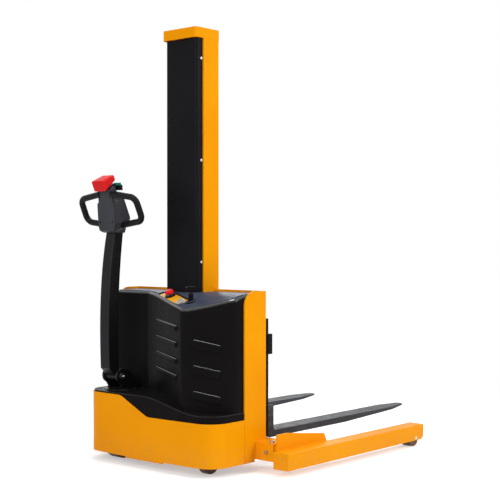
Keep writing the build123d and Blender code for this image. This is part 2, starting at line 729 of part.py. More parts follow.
def estop_base():
    """Collar that the emergency stop's stem slides in."""
    collar = Cylinder(ESTOP_BASE_RADIUS, ESTOP_BASE) - Cylinder(ESTOP_STEM + RUN_GAP, ESTOP_BASE)
    return console_plane() * Pos(0, 0, PLATE_THICK + ESTOP_BASE / 2) * collar


def estop_knob():
    """Mushroom head on its stem."""
    seat = PLATE_THICK + ESTOP_BASE + ESTOP_GAP
    head = fillet(Cylinder(ESTOP_KNOB_RADIUS, ESTOP_KNOB).edges().sort_by(Axis.Z)[-1], ESTOP_KNOB / 2)
    stem_from = PLATE_THICK + ESTOP_TRAVEL + PANEL_GAP
    stem = round_z(0, 0, (stem_from, seat), ESTOP_STEM)
    return console_plane() * (Pos(0, 0, seat + ESTOP_KNOB / 2) * head + stem)


def battery_gauge():
    """Round discharge gauge that leans towards the driver, with a raised bezel."""
    rise = GAUGE_RADIUS * math.sin(math.radians(GAUGE_TILT)) + GAUGE_LIP
    body = round_z(0, 0, (-2 * GAUGE_RADIUS, 0), GAUGE_RADIUS)
    body -= round_z(0, 0, (-GAUGE_LIP, GAUGE_LIP), GAUGE_RADIUS - GAUGE_BEZEL)
    body = Pos(0, 0, PLATE_THICK + rise) * Rot(GAUGE_TILT, 0, 0) * body
    body &= block((-BEYOND, BEYOND), (-BEYOND, BEYOND), (PLATE_THICK, BEYOND))
    return console_plane() * Pos(GAUGE_AT, GAUGE_ASIDE, 0) * body


def key_seat():
    """Place of the key switch on the hood's sloping top, beside the tray."""
    return console_plane() * Pos(KEY_AT, KEY_ASIDE, TRAY_SINK)


def key_axis():
    """Upright axis of the key, turned with the hood's oblique wall."""
    return Pos(*key_seat().position) * Rot(0, 0, 90 - OBLIQUE_TURN)


def key_switch():
    """Upright barrel of the key switch on its sloping flange."""
    barrel = round_z(0, 0, (-KEY_BARREL_RADIUS, KEY_BARREL), KEY_BARREL_RADIUS)
    barrel -= round_z(0, 0, (KEY_BARREL - KEY_DEPTH, KEY_BARREL), KEY_STEM + RUN_GAP)
    below = block((-BEYOND, BEYOND), (-BEYOND, BEYOND), (-BEYOND, 0))
    flange = round_z(0, 0, (0, KEY_FLANGE), KEY_FLANGE_RADIUS)
    return key_axis() * barrel - key_seat() * below + key_seat() * flange


def key():
    """Key with a broad moulded bow."""
    bow_bottom = KEY_BARREL + KEY_NECK
    stem = round_z(0, 0, (KEY_BARREL - KEY_DEPTH + PANEL_GAP, bow_bottom), KEY_STEM)
    bow = Box(KEY_BOW_THICK, KEY_BOW_WIDTH, KEY_BOW_HEIGHT)
    bow = fillet(bow.edges().filter_by(Axis.X), KEY_BOW_HEIGHT / 3)
    bow = Pos(0, 0, bow_bottom + KEY_BOW_HEIGHT / 2) * bow
    return key_axis() * (stem + bow)


def mast_column():
    """Left channel of the mast, with lugs for the cover screws."""
    outer = block((COLUMN_REAR, COLUMN_FRONT), (COLUMN_TIP, HALF_MAST), (FOOT_TOP, COLUMN_TOP))
    track = block(
        (COLUMN_REAR + COLUMN_FLANGE, COLUMN_FRONT - COLUMN_FLANGE),
        (0, HALF_MAST - COLUMN_WEB),
        (0, BEYOND),
    )
    column = outer - track
    lug_y = COVER_HALF - COVER_SHEET - PANEL_GAP
    for z in SCREW_HEIGHTS:
        half = LUG_HEIGHT / 2
        lug = (lug_y - LUG_WIDTH, lug_y)
        column += block((COLUMN_REAR - LUG_DEPTH, COLUMN_REAR), lug, (z - half, z + half))
        column -= round_y(COLUMN_REAR - LUG_DEPTH / 2, z, lug, SCREW_RADIUS + RUN_GAP)
    return column


def cover_screws():
    """Button screws through the sides of the mast cover into the column lugs."""
    lug_y = COVER_HALF - COVER_SHEET - PANEL_GAP
    left = []
    for z in SCREW_HEIGHTS:
        x = COLUMN_REAR - LUG_DEPTH / 2
        shank = round_y(x, z, (lug_y - LUG_WIDTH, COVER_HALF), SCREW_RADIUS)
        head = round_y(x, z, (COVER_HALF, COVER_HALF + SCREW_HEAD), SCREW_HEAD_RADIUS)
        rim = head.edges().group_by(Axis.Y)[-1]
        left.append(shank + fillet(rim, SCREW_HEAD / 2))
    return Compound(left + [to_right(screw) for screw in left])


def cover_plan(inset):
    """Plan of the mast cover: a channel with rounded rear corners."""
    half = COVER_HALF - inset
    rear = COVER_REAR + inset
    corners = [(COLUMN_REAR, half), (rear, half), (rear, -half), (COLUMN_REAR, -half)]
    plan = make_face(Polyline(*corners, close=True))
    return fillet(plan.vertices().sort_by(Axis.X)[:2], COVER_CORNER - inset)


def mast_cover():
    """Bent sheet over the back of the mast."""
    height = COLUMN_TOP - PANEL_GAP - COVER_BOTTOM
    cover = extrude(cover_plan(0), height)
    cover -= extrude(cover_plan(COVER_SHEET), height)
    front = block((COLUMN_REAR - PANEL_GAP, BEYOND), (-BEYOND, BEYOND), (0, BEYOND))
    cover = Pos(0, 0, COVER_BOTTOM) * (cover - front)
    for z in SCREW_HEIGHTS:
        cover -= round_y(COLUMN_REAR - LUG_DEPTH / 2, z, (-COVER_HALF, COVER_HALF), SCREW_RADIUS + RUN_GAP)
    return cover


def mast_cap():
    """Folded cap on top of both columns and the cover."""
    cap = block((0, COLUMN_FRONT + CAP_FRONT_LIP), (-HALF_MAST, HALF_MAST), (COLUMN_TOP, MAST_HEIGHT))
    corners = cap.edges().filter_by(Axis.Z).sort_by(Axis.X)[:2]
    cap = fillet(corners, CAP_CORNER)
    hollow = block(
        (SHEET, COLUMN_FRONT + CAP_FRONT_LIP - SHEET),
        (SHEET - HALF_MAST, HALF_MAST - SHEET),
        (COLUMN_TOP, MAST_HEIGHT - SHEET),
    )
    hollow = fillet(hollow.edges().filter_by(Axis.Z).sort_by(Axis.X)[:2], CAP_CORNER - SHEET)
    return fillet(cap.faces().sort_by(Axis.Z)[-1].edges(), SHEET / 2) - hollow


def lift_barrel():
    """Lift cylinder's barrel with base and gland."""
    barrel = round_z(CYLINDER_X, 0, (FOOT_TOP, BARREL_TOP), BARREL_RADIUS)
    barrel -= round_z(CYLINDER_X, 0, (FOOT_TOP + BARREL_BASE, BARREL_TOP - GLAND), BARREL_BORE)
    return barrel - round_z(CYLINDER_X, 0, (FOOT_TOP + BARREL_BASE, BEYOND), ROD_RADIUS + RUN_GAP)


def piston_rod():
    """Piston, rod, and the yoke and pin of the chain sheave."""
    crown_top = SHEAVE_Z - SHEAVE_RADIUS - YOKE_CHEEK_GAP
    rod = round_z(CYLINDER_X, 0, (PISTON_REST, crown_top), ROD_RADIUS)
    rod += round_z(CYLINDER_X, 0, (PISTON_REST, PISTON_REST + PISTON), BARREL_BORE - RUN_GAP)
    inner = SHEAVE_WIDTH / 2 + YOKE_CHEEK_GAP
    outer = inner + YOKE_CHEEK
    depth = (CYLINDER_X - YOKE_HALF_DEPTH, CYLINDER_X + YOKE_HALF_DEPTH)
    rod += block(depth, (-outer, outer), (crown_top - YOKE_CROWN, crown_top))
    cheek = block(depth, (inner, outer), (crown_top, SHEAVE_Z + YOKE_HALF_DEPTH))
    rod += cheek + to_right(cheek)
    return rod + round_y(CYLINDER_X, SHEAVE_Z, (-outer, outer), SHEAVE_PIN)


def chain_sheave():
    """Grooveless wheel that the lift chain runs over."""
    half = SHEAVE_WIDTH / 2
    wheel = round_y(CYLINDER_X, SHEAVE_Z, (-half, half), SHEAVE_RADIUS)
    return wheel - round_y(CYLINDER_X, SHEAVE_Z, (-half, half), SHEAVE_PIN + RUN_GAP)


def chain_front():
    """Chain over the sheave and down to the carriage."""
    half = CHAIN_WIDTH / 2
    outer = CHAIN_RADIUS + CHAIN_THICK
    ring = round_y(CYLINDER_X, SHEAVE_Z, (-half, half), outer) - round_y(
        CYLINDER_X, SHEAVE_Z, (-half, half), CHAIN_RADIUS
    )
    arch = ring & block((-BEYOND, BEYOND), (-BEYOND, BEYOND), (SHEAVE_Z, BEYOND))
    run = block(
        (CYLINDER_X + CHAIN_RADIUS, CYLINDER_X + outer),
        (-half, half),
        (TIE_Z[1] + PANEL_GAP, SHEAVE_Z),
    )
    return arch + run


def chain_rear():
    """Chain from the sheave down to its fixed anchor."""
    half = CHAIN_WIDTH / 2
    rear = CYLINDER_X - CHAIN_RADIUS - CHAIN_THICK
    return block((rear, rear + CHAIN_THICK), (-half, half), (ANCHOR_TOP, SHEAVE_Z - PANEL_GAP))


def chain_anchor():
    """Half collar on the back of the barrel with a lug for the chain's fixed end."""
    low = ANCHOR_TOP - ANCHOR_HEIGHT
    collar = round_z(CYLINDER_X, 0, (low, ANCHOR_TOP), BARREL_RADIUS + ANCHOR_WALL)
    collar &= block((-BEYOND, CYLINDER_X), (-BEYOND, BEYOND), (low, ANCHOR_TOP))
    lug_rear = CYLINDER_X - CHAIN_RADIUS - CHAIN_THICK
    lug = block((lug_rear, CYLINDER_X), (-CHAIN_WIDTH, CHAIN_WIDTH), (low, ANCHOR_TOP))
    return (collar + lug) - round_z(CYLINDER_X, 0, (0, BEYOND), BARREL_RADIUS)


def carriage_frame():
    """Roller cheeks, chain tie and the two fork bars."""
    cheek = side_slab(
        [
            (CHEEK_REAR, CHEEK_BOTTOM),
            (BAR_REAR, CHEEK_BOTTOM),
            (BAR_REAR, BAR_HIGH[1]),
            (CHEEK_STEP, BAR_HIGH[1]),
            (CHEEK_STEP, CHEEK_SHOULDER),
            (CHEEK_REAR, CHEEK_SHOULDER),
        ],
        (CHEEK_INNER, CHEEK_OUTER),
    )
    for z in (ROLLER_LOW_Z, ROLLER_HIGH_Z):
        cheek += round_y(ROLLER_X, z, (CHEEK_OUTER, ROLLER_OUTER), ROLLER_PIN)
    tie = block((TIE_REAR, TIE_REAR + TIE_DEPTH), (-CHEEK_INNER, CHEEK_INNER), TIE_Z)
    frame = cheek + to_right(cheek) + tie
    for half, z in ((BAR_LOW_HALF, BAR_LOW), (BAR_HIGH_HALF, BAR_HIGH)):
        frame += block((BAR_REAR, BAR_FRONT), (-half, half), z)
    return frame


def carriage_roller(z):
    """Left roller in the mast channel."""
    span = (ROLLER_OUTER - ROLLER_WIDTH, ROLLER_OUTER)
    roller = round_y(ROLLER_X, z, span, ROLLER_RADIUS)
    return roller - round_y(ROLLER_X, z, span, ROLLER_PIN + RUN_GAP)


def fork():
    """Left fork: heel block and tapered blade."""
    y = (FORK_CENTRE - FORK_WIDTH / 2, FORK_CENTRE + FORK_WIDTH / 2)
    taper = FORK_END - FORK_TAPER
    profile = side_slab(
        [
            (HEEL_REAR, FORK_BOTTOM),
            (taper, FORK_BOTTOM),
            (FORK_END, FORK_TOP - FORK_TIP),
            (FORK_END, FORK_TOP),
            (HEEL_FRONT, FORK_TOP),
            (HEEL_FRONT, HEEL_TOP),
            (HEEL_REAR, HEEL_TOP),
        ],
        y,
    )
    inner_corner = profile.edges().filter_by(Axis.Y).sort_by_distance((HEEL_FRONT, FORK_CENTRE, FORK_TOP))[0]
    heel = (HEEL_REAR, FORK_CENTRE, FORK_BOTTOM)
    outer_corner = profile.edges().filter_by(Axis.Y).sort_by_distance(heel)[0]
    profile = fillet([inner_corner, outer_corner], HEEL_ROUND)
    shoulder = FORK_END - FORK_NOSE_LENGTH
    plan = make_face(
        Polyline(
            (HEEL_REAR, y[0]),
            (shoulder, y[0]),
            (FORK_END, FORK_CENTRE - FORK_NOSE_WIDTH / 2),
            (FORK_END, FORK_CENTRE + FORK_NOSE_WIDTH / 2),
            (shoulder, y[1]),
            (HEEL_REAR, y[1]),
            close=True,
        )
    )
    plan = fillet(plan.vertices().sort_by(Axis.X)[-2:], HEEL_ROUND)
    return profile & extrude(plan, HEEL_TOP)


def fork_hanger():
    """Left hanger: upright bar hooked over the upper fork bar."""
    y = (FORK_CENTRE - HANGER_WIDTH / 2, FORK_CENTRE + HANGER_WIDTH / 2)
    seat = BAR_HIGH[1] + SLIDE_GAP
    back = BAR_REAR - SLIDE_GAP
    return side_slab(
        [
            (HEEL_REAR, HEEL_TOP),
            (HEEL_REAR + HANGER_THICK, HEEL_TOP),
            (HEEL_REAR + HANGER_THICK, HANGER_TOP),
            (HEEL_REAR, HANGER_TOP),
            (HEEL_REAR, seat + HOOK_HEIGHT),
            (back - HOOK_LIP, seat + HOOK_HEIGHT),
            (back - HOOK_LIP, seat - HOOK_DROP),
            (back, seat - HOOK_DROP),
            (back, seat),
            (HEEL_REAR, seat),
        ],
        y,
    )


def straddle_leg():
    """Left leg: box beam, gusset and the stub that slides in the chassis socket."""
    beam = block((LEG_REAR, LEG_FRONT), (LEG_INNER, LEG_OUTER), (LEG_BOTTOM, LEG_TOP))
    nose = beam.edges().filter_by(Axis.Y).group_by(Axis.X)[-1].sort_by(Axis.Z)[0]
    beam = fillet(nose, LEG_NOSE)
    pocket_x = (LOAD_WHEEL_X - LOAD_WHEEL_POCKET, LOAD_WHEEL_X + LOAD_WHEEL_POCKET)
    hollow_y = (LEG_INNER + LEG_WALL, LEG_OUTER - LEG_WALL)
    beam -= block((LEG_REAR + LEG_WALL, pocket_x[1]), hollow_y, (LEG_BOTTOM + LEG_WALL, LEG_TOP - LEG_WALL))
    beam -= block(pocket_x, hollow_y, (0, LEG_TOP - LEG_WALL))
    beam -= round_y(LOAD_WHEEL_X, LOAD_WHEEL_RADIUS, (LEG_INNER, LEG_OUTER), LOAD_AXLE)
    gusset = side_slab(
        [
            (GUSSET_REAR, LEG_BOTTOM + LEG_WALL),
            (GUSSET_REAR + GUSSET_LENGTH, LEG_BOTTOM + LEG_WALL),
            (GUSSET_REAR + GUSSET_LENGTH, LEG_TOP),
            (GUSSET_REAR + GUSSET_KNEE[0], GUSSET_KNEE[1]),
            (GUSSET_REAR + GUSSET_FLAT, GUSSET_TOP),
            (GUSSET_REAR, GUSSET_TOP),
        ],
        (LEG_INNER - GUSSET, LEG_INNER),
    )
    gap = SOCKET_WALL + SLIDE_GAP
    stub = block(
        (SOCKET_REAR + gap, SOCKET_FRONT - gap),
        (STUB_INNER, LEG_INNER - GUSSET),
        (SOCKET_BOTTOM + gap, SOCKET_TOP - gap),
    )
    return beam + gusset + stub


def load_axle():
    """Left load wheel's axle, pinned in the leg's side walls."""
    return round_y(LOAD_WHEEL_X, LOAD_WHEEL_RADIUS, (LEG_INNER, LEG_OUTER), LOAD_AXLE)


def load_wheel():
    """Left load wheel."""
    span = (LEG_CENTRE - LOAD_WHEEL_WIDTH / 2, LEG_CENTRE + LOAD_WHEEL_WIDTH / 2)
    wheel = round_y(LOAD_WHEEL_X, LOAD_WHEEL_RADIUS, span, LOAD_WHEEL_RADIUS)
    wheel = fillet(wheel.edges(), SHEET)
    return wheel - round_y(LOAD_WHEEL_X, LOAD_WHEEL_RADIUS, span, LOAD_AXLE + RUN_GAP)


def drive_yoke():
    """Steered yoke: two side ears, crown disc and post through the bearing."""
    ears = []
    for low, high in ((YOKE_INNER, YOKE_OUTER), (-YOKE_OUTER, -YOKE_INNER)):
        y = (STEER_Y + low, STEER_Y + high)
        x = (STEER_X - YOKE_HALF_LENGTH, STEER_X + YOKE_HALF_LENGTH)
        ear = block(x, y, (DRIVE_RADIUS, YOKE_TOP - YOKE_DISC))
        ear += round_y(STEER_X, DRIVE_RADIUS, y, YOKE_HALF_LENGTH)
        ears.append(ear - round_y(STEER_X, DRIVE_RADIUS, y, DRIVE_AXLE))
    disc = round_z(STEER_X, STEER_Y, (YOKE_TOP - YOKE_DISC, YOKE_TOP), YOKE_DISC_RADIUS)
    post = round_z(STEER_X, STEER_Y, (YOKE_TOP, TABLE_BOTTOM), STEER_POST)
    return ears[0] + ears[1] + disc + post


def steer_bearing():
    """Bearing ring in the deck that the yoke's post turns in."""
    ring = round_z(STEER_X, STEER_Y, (BEARING_BOTTOM, BEARING_TOP), BEARING_RADIUS)
    return ring - round_z(STEER_X, STEER_Y, (BEARING_BOTTOM, BEARING_TOP), STEER_POST + RUN_GAP)


def drive_motor():
    """Wheel motor's fixed core with its axle."""
    half = DRIVE_WIDTH / 2 - DRIVE_SIDE_WALL - MOTOR_GAP
    core = round_y(STEER_X, DRIVE_RADIUS, (STEER_Y - half, STEER_Y + half), DRIVE_CAVITY - MOTOR_GAP)
    return core + round_y(STEER_X, DRIVE_RADIUS, (STEER_Y - YOKE_OUTER, STEER_Y + YOKE_OUTER), DRIVE_AXLE)


def drive_hub():
    """Wheel hub round the motor."""
    half = DRIVE_WIDTH / 2
    hub = round_y(STEER_X, DRIVE_RADIUS, (STEER_Y - half, STEER_Y + half), DRIVE_HUB_RADIUS)
    cave = half - DRIVE_SIDE_WALL
    hub -= round_y(STEER_X, DRIVE_RADIUS, (STEER_Y - cave, STEER_Y + cave), DRIVE_CAVITY)
    return hub - round_y(STEER_X, DRIVE_RADIUS, (STEER_Y - half, STEER_Y + half), DRIVE_AXLE + RUN_GAP)


def drive_tyre():
    """Solid tyre pressed on the hub."""
    half = DRIVE_WIDTH / 2
    span = (STEER_Y - half, STEER_Y + half)
    tyre = fillet(round_y(STEER_X, DRIVE_RADIUS, span, DRIVE_RADIUS).edges(), SHEET)
    return tyre - round_y(STEER_X, DRIVE_RADIUS, span, DRIVE_HUB_RADIUS)


def tiller_bracket():
    """Turntable and the two cheeks that the tiller hinges between."""
    table = round_z(STEER_X, STEER_Y, (TABLE_BOTTOM, TABLE_BOTTOM + TABLE_THICK), TABLE_RADIUS)
    bracket = table
    top = TABLE_BOTTOM + TABLE_THICK
    for low, high in ((BRACKET_INNER, BRACKET_OUTER), (-BRACKET_OUTER, -BRACKET_INNER)):
        y = (STEER_Y + low, STEER_Y + high)
        web = side_slab(
            [
                (BRACKET_REAR, top),
                (BRACKET_FRONT, top),
                (BRACKET_FRONT, BRACKET_FRONT_TOP),
                BRACKET_SHOULDER,
                (PIVOT_X, PIVOT_Z + BRACKET_EYE),
                (PIVOT_X - BRACKET_EYE, PIVOT_Z),
            ],
            y,
        )
        eye = round_y(PIVOT_X, PIVOT_Z, y, BRACKET_EYE)
        bracket += (web + eye) - round_y(PIVOT_X, PIVOT_Z, y, PIVOT_PIN)
    return bracket


def tiller_pin():
    """Headed pin through the bracket's cheeks."""
    pin = round_y(PIVOT_X, PIVOT_Z, (STEER_Y - BRACKET_OUTER, STEER_Y + BRACKET_OUTER), PIVOT_PIN)
    head = (STEER_Y - BRACKET_OUTER - PIN_HEAD, STEER_Y - BRACKET_OUTER)
    return pin + round_y(PIVOT_X, PIVOT_Z, head, PIN_HEAD_RADIUS)


def arm_bar(inset):
    """Bowed bar of the tiller arm, drawn in from its outer faces by inset."""
    half = ARM_DEPTH / 2 - inset
    top_half = ARM_TOP_DEPTH / 2 - inset
    width = ARM_WIDTH - 2 * inset
    stations = [(*place, half) for place in (ARM_FOOT, ARM_KNEE, ARM_BOW)] + [(*ARM_TOP, top_half)]
    rear = Spline(*[(x - reach, z) for x, z, reach in stations])
    front = Spline(*[(x + reach, z) for x, z, reach in reversed(stations)])
    outline = make_face([rear, Line(rear @ 1, front @ 0), front, Line(front @ 1, rear @ 0)])
    return Pos(0, STEER_Y + width / 2, 0) * extrude(Plane.XZ * outline, width)


def tiller_arm():
    """Bowed hollow arm with the hinge eye at its foot."""
    half = ARM_DEPTH / 2
    arm = arm_bar(0) - arm_bar(ARM_WALL)
    foot = side_slab(
        [
            (ARM_FOOT[0] - half, ARM_FOOT[1]),
            (PIVOT_X - ARM_EYE, PIVOT_Z),
            (PIVOT_X, PIVOT_Z - ARM_EYE / 2),
            (PIVOT_X + ARM_EYE, PIVOT_Z),
            (ARM_FOOT[0] + half, ARM_FOOT[1]),
        ],
        (STEER_Y - ARM_WIDTH / 2, STEER_Y + ARM_WIDTH / 2),
    )
    eye_half = BRACKET_INNER - ARM_EYE_GAP
    eye = round_y(PIVOT_X, PIVOT_Z, (STEER_Y - eye_half, STEER_Y + eye_half), ARM_EYE)
    bore = round_y(PIVOT_X, PIVOT_Z, (STEER_Y - eye_half, STEER_Y + eye_half), PIVOT_PIN + RUN_GAP)
    return arm + foot + eye - bore


def head_plane():
    """Plane of the tiller head: X to the left, Y up along the head, Z to the front."""
    tilt = math.radians(HEAD_TILT)
    forward = (math.cos(tilt), 0, math.sin(tilt))
    return Plane((HEAD_FOOT[0], STEER_Y, HEAD_FOOT[1]), x_dir=(0, 1, 0), z_dir=forward)


def head_blank():
    """Outer form of the head housing, from its outline and its wedge-shaped profile."""
    left = list(HEAD_OUTLINE)
    right = [(-v, u) for v, u in reversed(HEAD_OUTLINE)]
    outline = make_face(Polyline(*left, *right, close=True))
    outline = fillet(outline.vertices(), HEAD_ROUND)
    profile = make_face(Polyline(*HEAD_PROFILE, close=True))
    profile = fillet(profile.vertices(), HEAD_ROUND)
    return extrude(outline, BEYOND, both=True) & extrude(Plane.YZ * profile, BEYOND, both=True)


def head_housing():
    """Head housing with seats for the loops, the belly button, the paddle shaft and the buttons."""
    neck_half = BELLY_NECK_HALF + SLIDE_GAP
    neck_thick = BELLY_NECK_THICK / 2 + SLIDE_GAP
    deep = NECK_TOP - BELLY_NECK_DEPTH - BELLY_TRAVEL - PANEL_GAP
    seat = block((-neck_half, neck_half), (deep, BEYOND), (-neck_thick, neck_thick))
    housing = head_blank() - Pos(0, 0, BELLY_NECK_AT) * seat
    reach = PADDLE_SHAFT + PADDLE_MOUNT_MARGIN
    mount = block(
        (-PADDLE_MOUNT_HALF, PADDLE_MOUNT_HALF),
        (PADDLE_U - reach, PADDLE_U + reach),
        (NECK_FRONT - HEAD_ROUND / 2, NECK_FRONT + PADDLE_RAISE + reach),
    )
    housing += fillet(mount.edges().filter_by(Axis.X).group_by(Axis.Z)[-1], PADDLE_MOUNT_MARGIN)
    shaft = Rot(0, 90, 0) * Cylinder(PADDLE_SHAFT + RUN_GAP, 2 * PADDLE_MOUNT_HALF)
    housing -= Pos(0, PADDLE_U, NECK_FRONT + PADDLE_RAISE) * shaft
    for v, u in (LIFT_BUTTON_AT, LOWER_BUTTON_AT, HORN_BUTTON_AT):
        pocket = Cylinder(BUTTON_RADIUS + BUTTON_FIT, BUTTON_POCKET)
        housing -= Pos(v, u, HEAD_FRONT - BUTTON_POCKET / 2) * pocket
    return head_plane() * housing - tiller_arm()


def handle_loop():
    """Left hand loop, a bent tube seated on the housing."""
    route = FilletPolyline(*LOOP_ROUTE, radius=LOOP_BEND)
    section = Plane(route @ 0, z_dir=route % 0) * Circle(LOOP_RADIUS)
    tube = Pos(0, 0, LOOP_LEVEL) * sweep(section, path=route)
    return head_plane() * (tube - head_blank())


def belly_button():
    """Red reversing button across the end of the head."""
    wedge = Polyline(
        (BELLY_FROM, BELLY_REAR),
        (BELLY_TO, BELLY_REAR),
        (BELLY_TO, BELLY_FRONT),
        (BELLY_FROM + BELLY_RISE, BELLY_FRONT),
        close=True,
    )
    body = extrude(Plane.YZ * make_face(wedge), BELLY_HALF, both=True)
    body = fillet(body.edges(), BELLY_ROUND)
    neck = block(
        (-BELLY_NECK_HALF, BELLY_NECK_HALF),
        (NECK_TOP - BELLY_NECK_DEPTH, BELLY_TO - BELLY_ROUND),
        (-BELLY_NECK_THICK / 2, BELLY_NECK_THICK / 2),
    )
    return head_plane() * (body + Pos(0, 0, BELLY_NECK_AT) * neck)


def thumb_paddle():
    """Two drive paddles on one shaft, at the front face of the head."""
    half = PADDLE_MOUNT_HALF + PADDLE_GAP
    across = Rot(0, 90, 0)
    paddle = across * Cylinder(PADDLE_SHAFT, 2 * half)
    for side in (-1, 1):
        middle = side * (half + PADDLE_WIDTH / 2)
        wing = Pos(middle, 0, 0) * Box(PADDLE_WIDTH, PADDLE_REACH * 2, PADDLE_THICK)
        wing = fillet(wing.edges().filter_by(Axis.X), PADDLE_THICK / 3)
        paddle += wing + Pos(middle, 0, 0) * across * Cylinder(PADDLE_HUB, PADDLE_WIDTH)
    return head_plane() * Pos(0, PADDLE_U, NECK_FRONT + PADDLE_RAISE) * paddle


def head_button(place):
    """Round push button on the head's front face."""
    height = BUTTON_PROUD + BUTTON_DEPTH
    button = Cylinder(BUTTON_RADIUS, height)
    button = fillet(button.edges().sort_by(Axis.Z)[-1], BUTTON_PROUD / 3)
    return head_plane() * Pos(place[0], place[1], HEAD_FRONT + BUTTON_PROUD - height / 2) * button


def caster_fork():
    """Swivelling caster fork with its stem."""
    inner = CASTER_WIDTH / 2 + CASTER_CHEEK_GAP
    outer = inner + CASTER_CHEEK
    fork_piece = round_z(CASTER_X, CASTER_Y, (CASTER_CROWN_Z, CASTER_STEM_TOP), CASTER_STEM)
    front = CASTER_X + CASTER_BOSS
    rear = CASTER_WHEEL_X - CASTER_EYE
    crown = (CASTER_CROWN_Z, CASTER_CROWN_Z + CASTER_CROWN)
    fork_piece += block((rear, front), (CASTER_Y - outer, CASTER_Y + outer), crown)
    for low, high in ((inner, outer), (-outer, -inner)):
        y = (CASTER_Y + low, CASTER_Y + high)
        cheek = side_slab(
            [
                (CASTER_WHEEL_X - CASTER_EYE, CASTER_RADIUS),
                (CASTER_WHEEL_X + CASTER_EYE, CASTER_RADIUS),
                (front, CASTER_CROWN_Z),
                (rear, CASTER_CROWN_Z),
            ],
            y,
        )
        cheek += round_y(CASTER_WHEEL_X, CASTER_RADIUS, y, CASTER_EYE)
        fork_piece += cheek - round_y(CASTER_WHEEL_X, CASTER_RADIUS, y, CASTER_AXLE)
    return fork_piece


def caster_axle():
    """Axle across the caster fork."""
    outer = CASTER_WIDTH / 2 + CASTER_CHEEK_GAP + CASTER_CHEEK
    return round_y(CASTER_WHEEL_X, CASTER_RADIUS, (CASTER_Y - outer, CASTER_Y + outer), CASTER_AXLE)


def caster_wheel():
    """Caster wheel."""
    span = (CASTER_Y - CASTER_WIDTH / 2, CASTER_Y + CASTER_WIDTH / 2)
    wheel = fillet(round_y(CASTER_WHEEL_X, CASTER_RADIUS, span, CASTER_RADIUS).edges(), SHEET)
    return wheel - round_y(CASTER_WHEEL_X, CASTER_RADIUS, span, CASTER_AXLE + RUN_GAP)


def battery(level):
    """One of the two stacked batteries, between the controller and the right side plate."""
    bottom = FLOOR_TOP + level * BATTERY_HEIGHT
    case = block(
        (BATTERY_REAR, BATTERY_REAR + BATTERY_DEPTH),
        (BATTERY_SIDE_GAP - INNER_SIDE, CONTROLLER_RIGHT - BATTERY_INNER_GAP),
        (bottom, bottom + BATTERY_HEIGHT),
    )
    return fillet(case.edges().filter_by(Axis.Z), SHEET)


def motor_controller():
    """Box of the drive's electronics."""
    return block(
        (CONTROLLER_REAR, CONTROLLER_REAR + CONTROLLER_DEPTH),
        (CONTROLLER_RIGHT, CONTROLLER_RIGHT + CONTROLLER_WIDTH),
        (FLOOR_TOP, FLOOR_TOP + CONTROLLER_HEIGHT),
    )


def oil_tank():
    """Oil tank between the pump and the left side plate."""
    tank = block(
        (TANK_REAR, TANK_REAR + TANK_DEPTH),
        (PUMP_Y + PUMP_RADIUS + TANK_INNER_GAP, INNER_SIDE - TANK_SIDE_GAP),
        (DECK_TOP, DECK_TOP + TANK_HEIGHT),
    )
    return fillet(tank.edges().filter_by(Axis.Z), SHEET)


def pump_motor():
    """Hydraulic pump block with its motor on top."""
    x = (PUMP_X - PUMP_RADIUS, PUMP_X + PUMP_RADIUS)
    y = (PUMP_Y - PUMP_RADIUS, PUMP_Y + PUMP_RADIUS)
    base = block(x, y, (DECK_TOP, DECK_TOP + PUMP_BLOCK))
    return base + round_z(PUMP_X, PUMP_Y, (DECK_TOP + PUMP_BLOCK, DECK_TOP + PUMP_HEIGHT), PUMP_RADIUS)


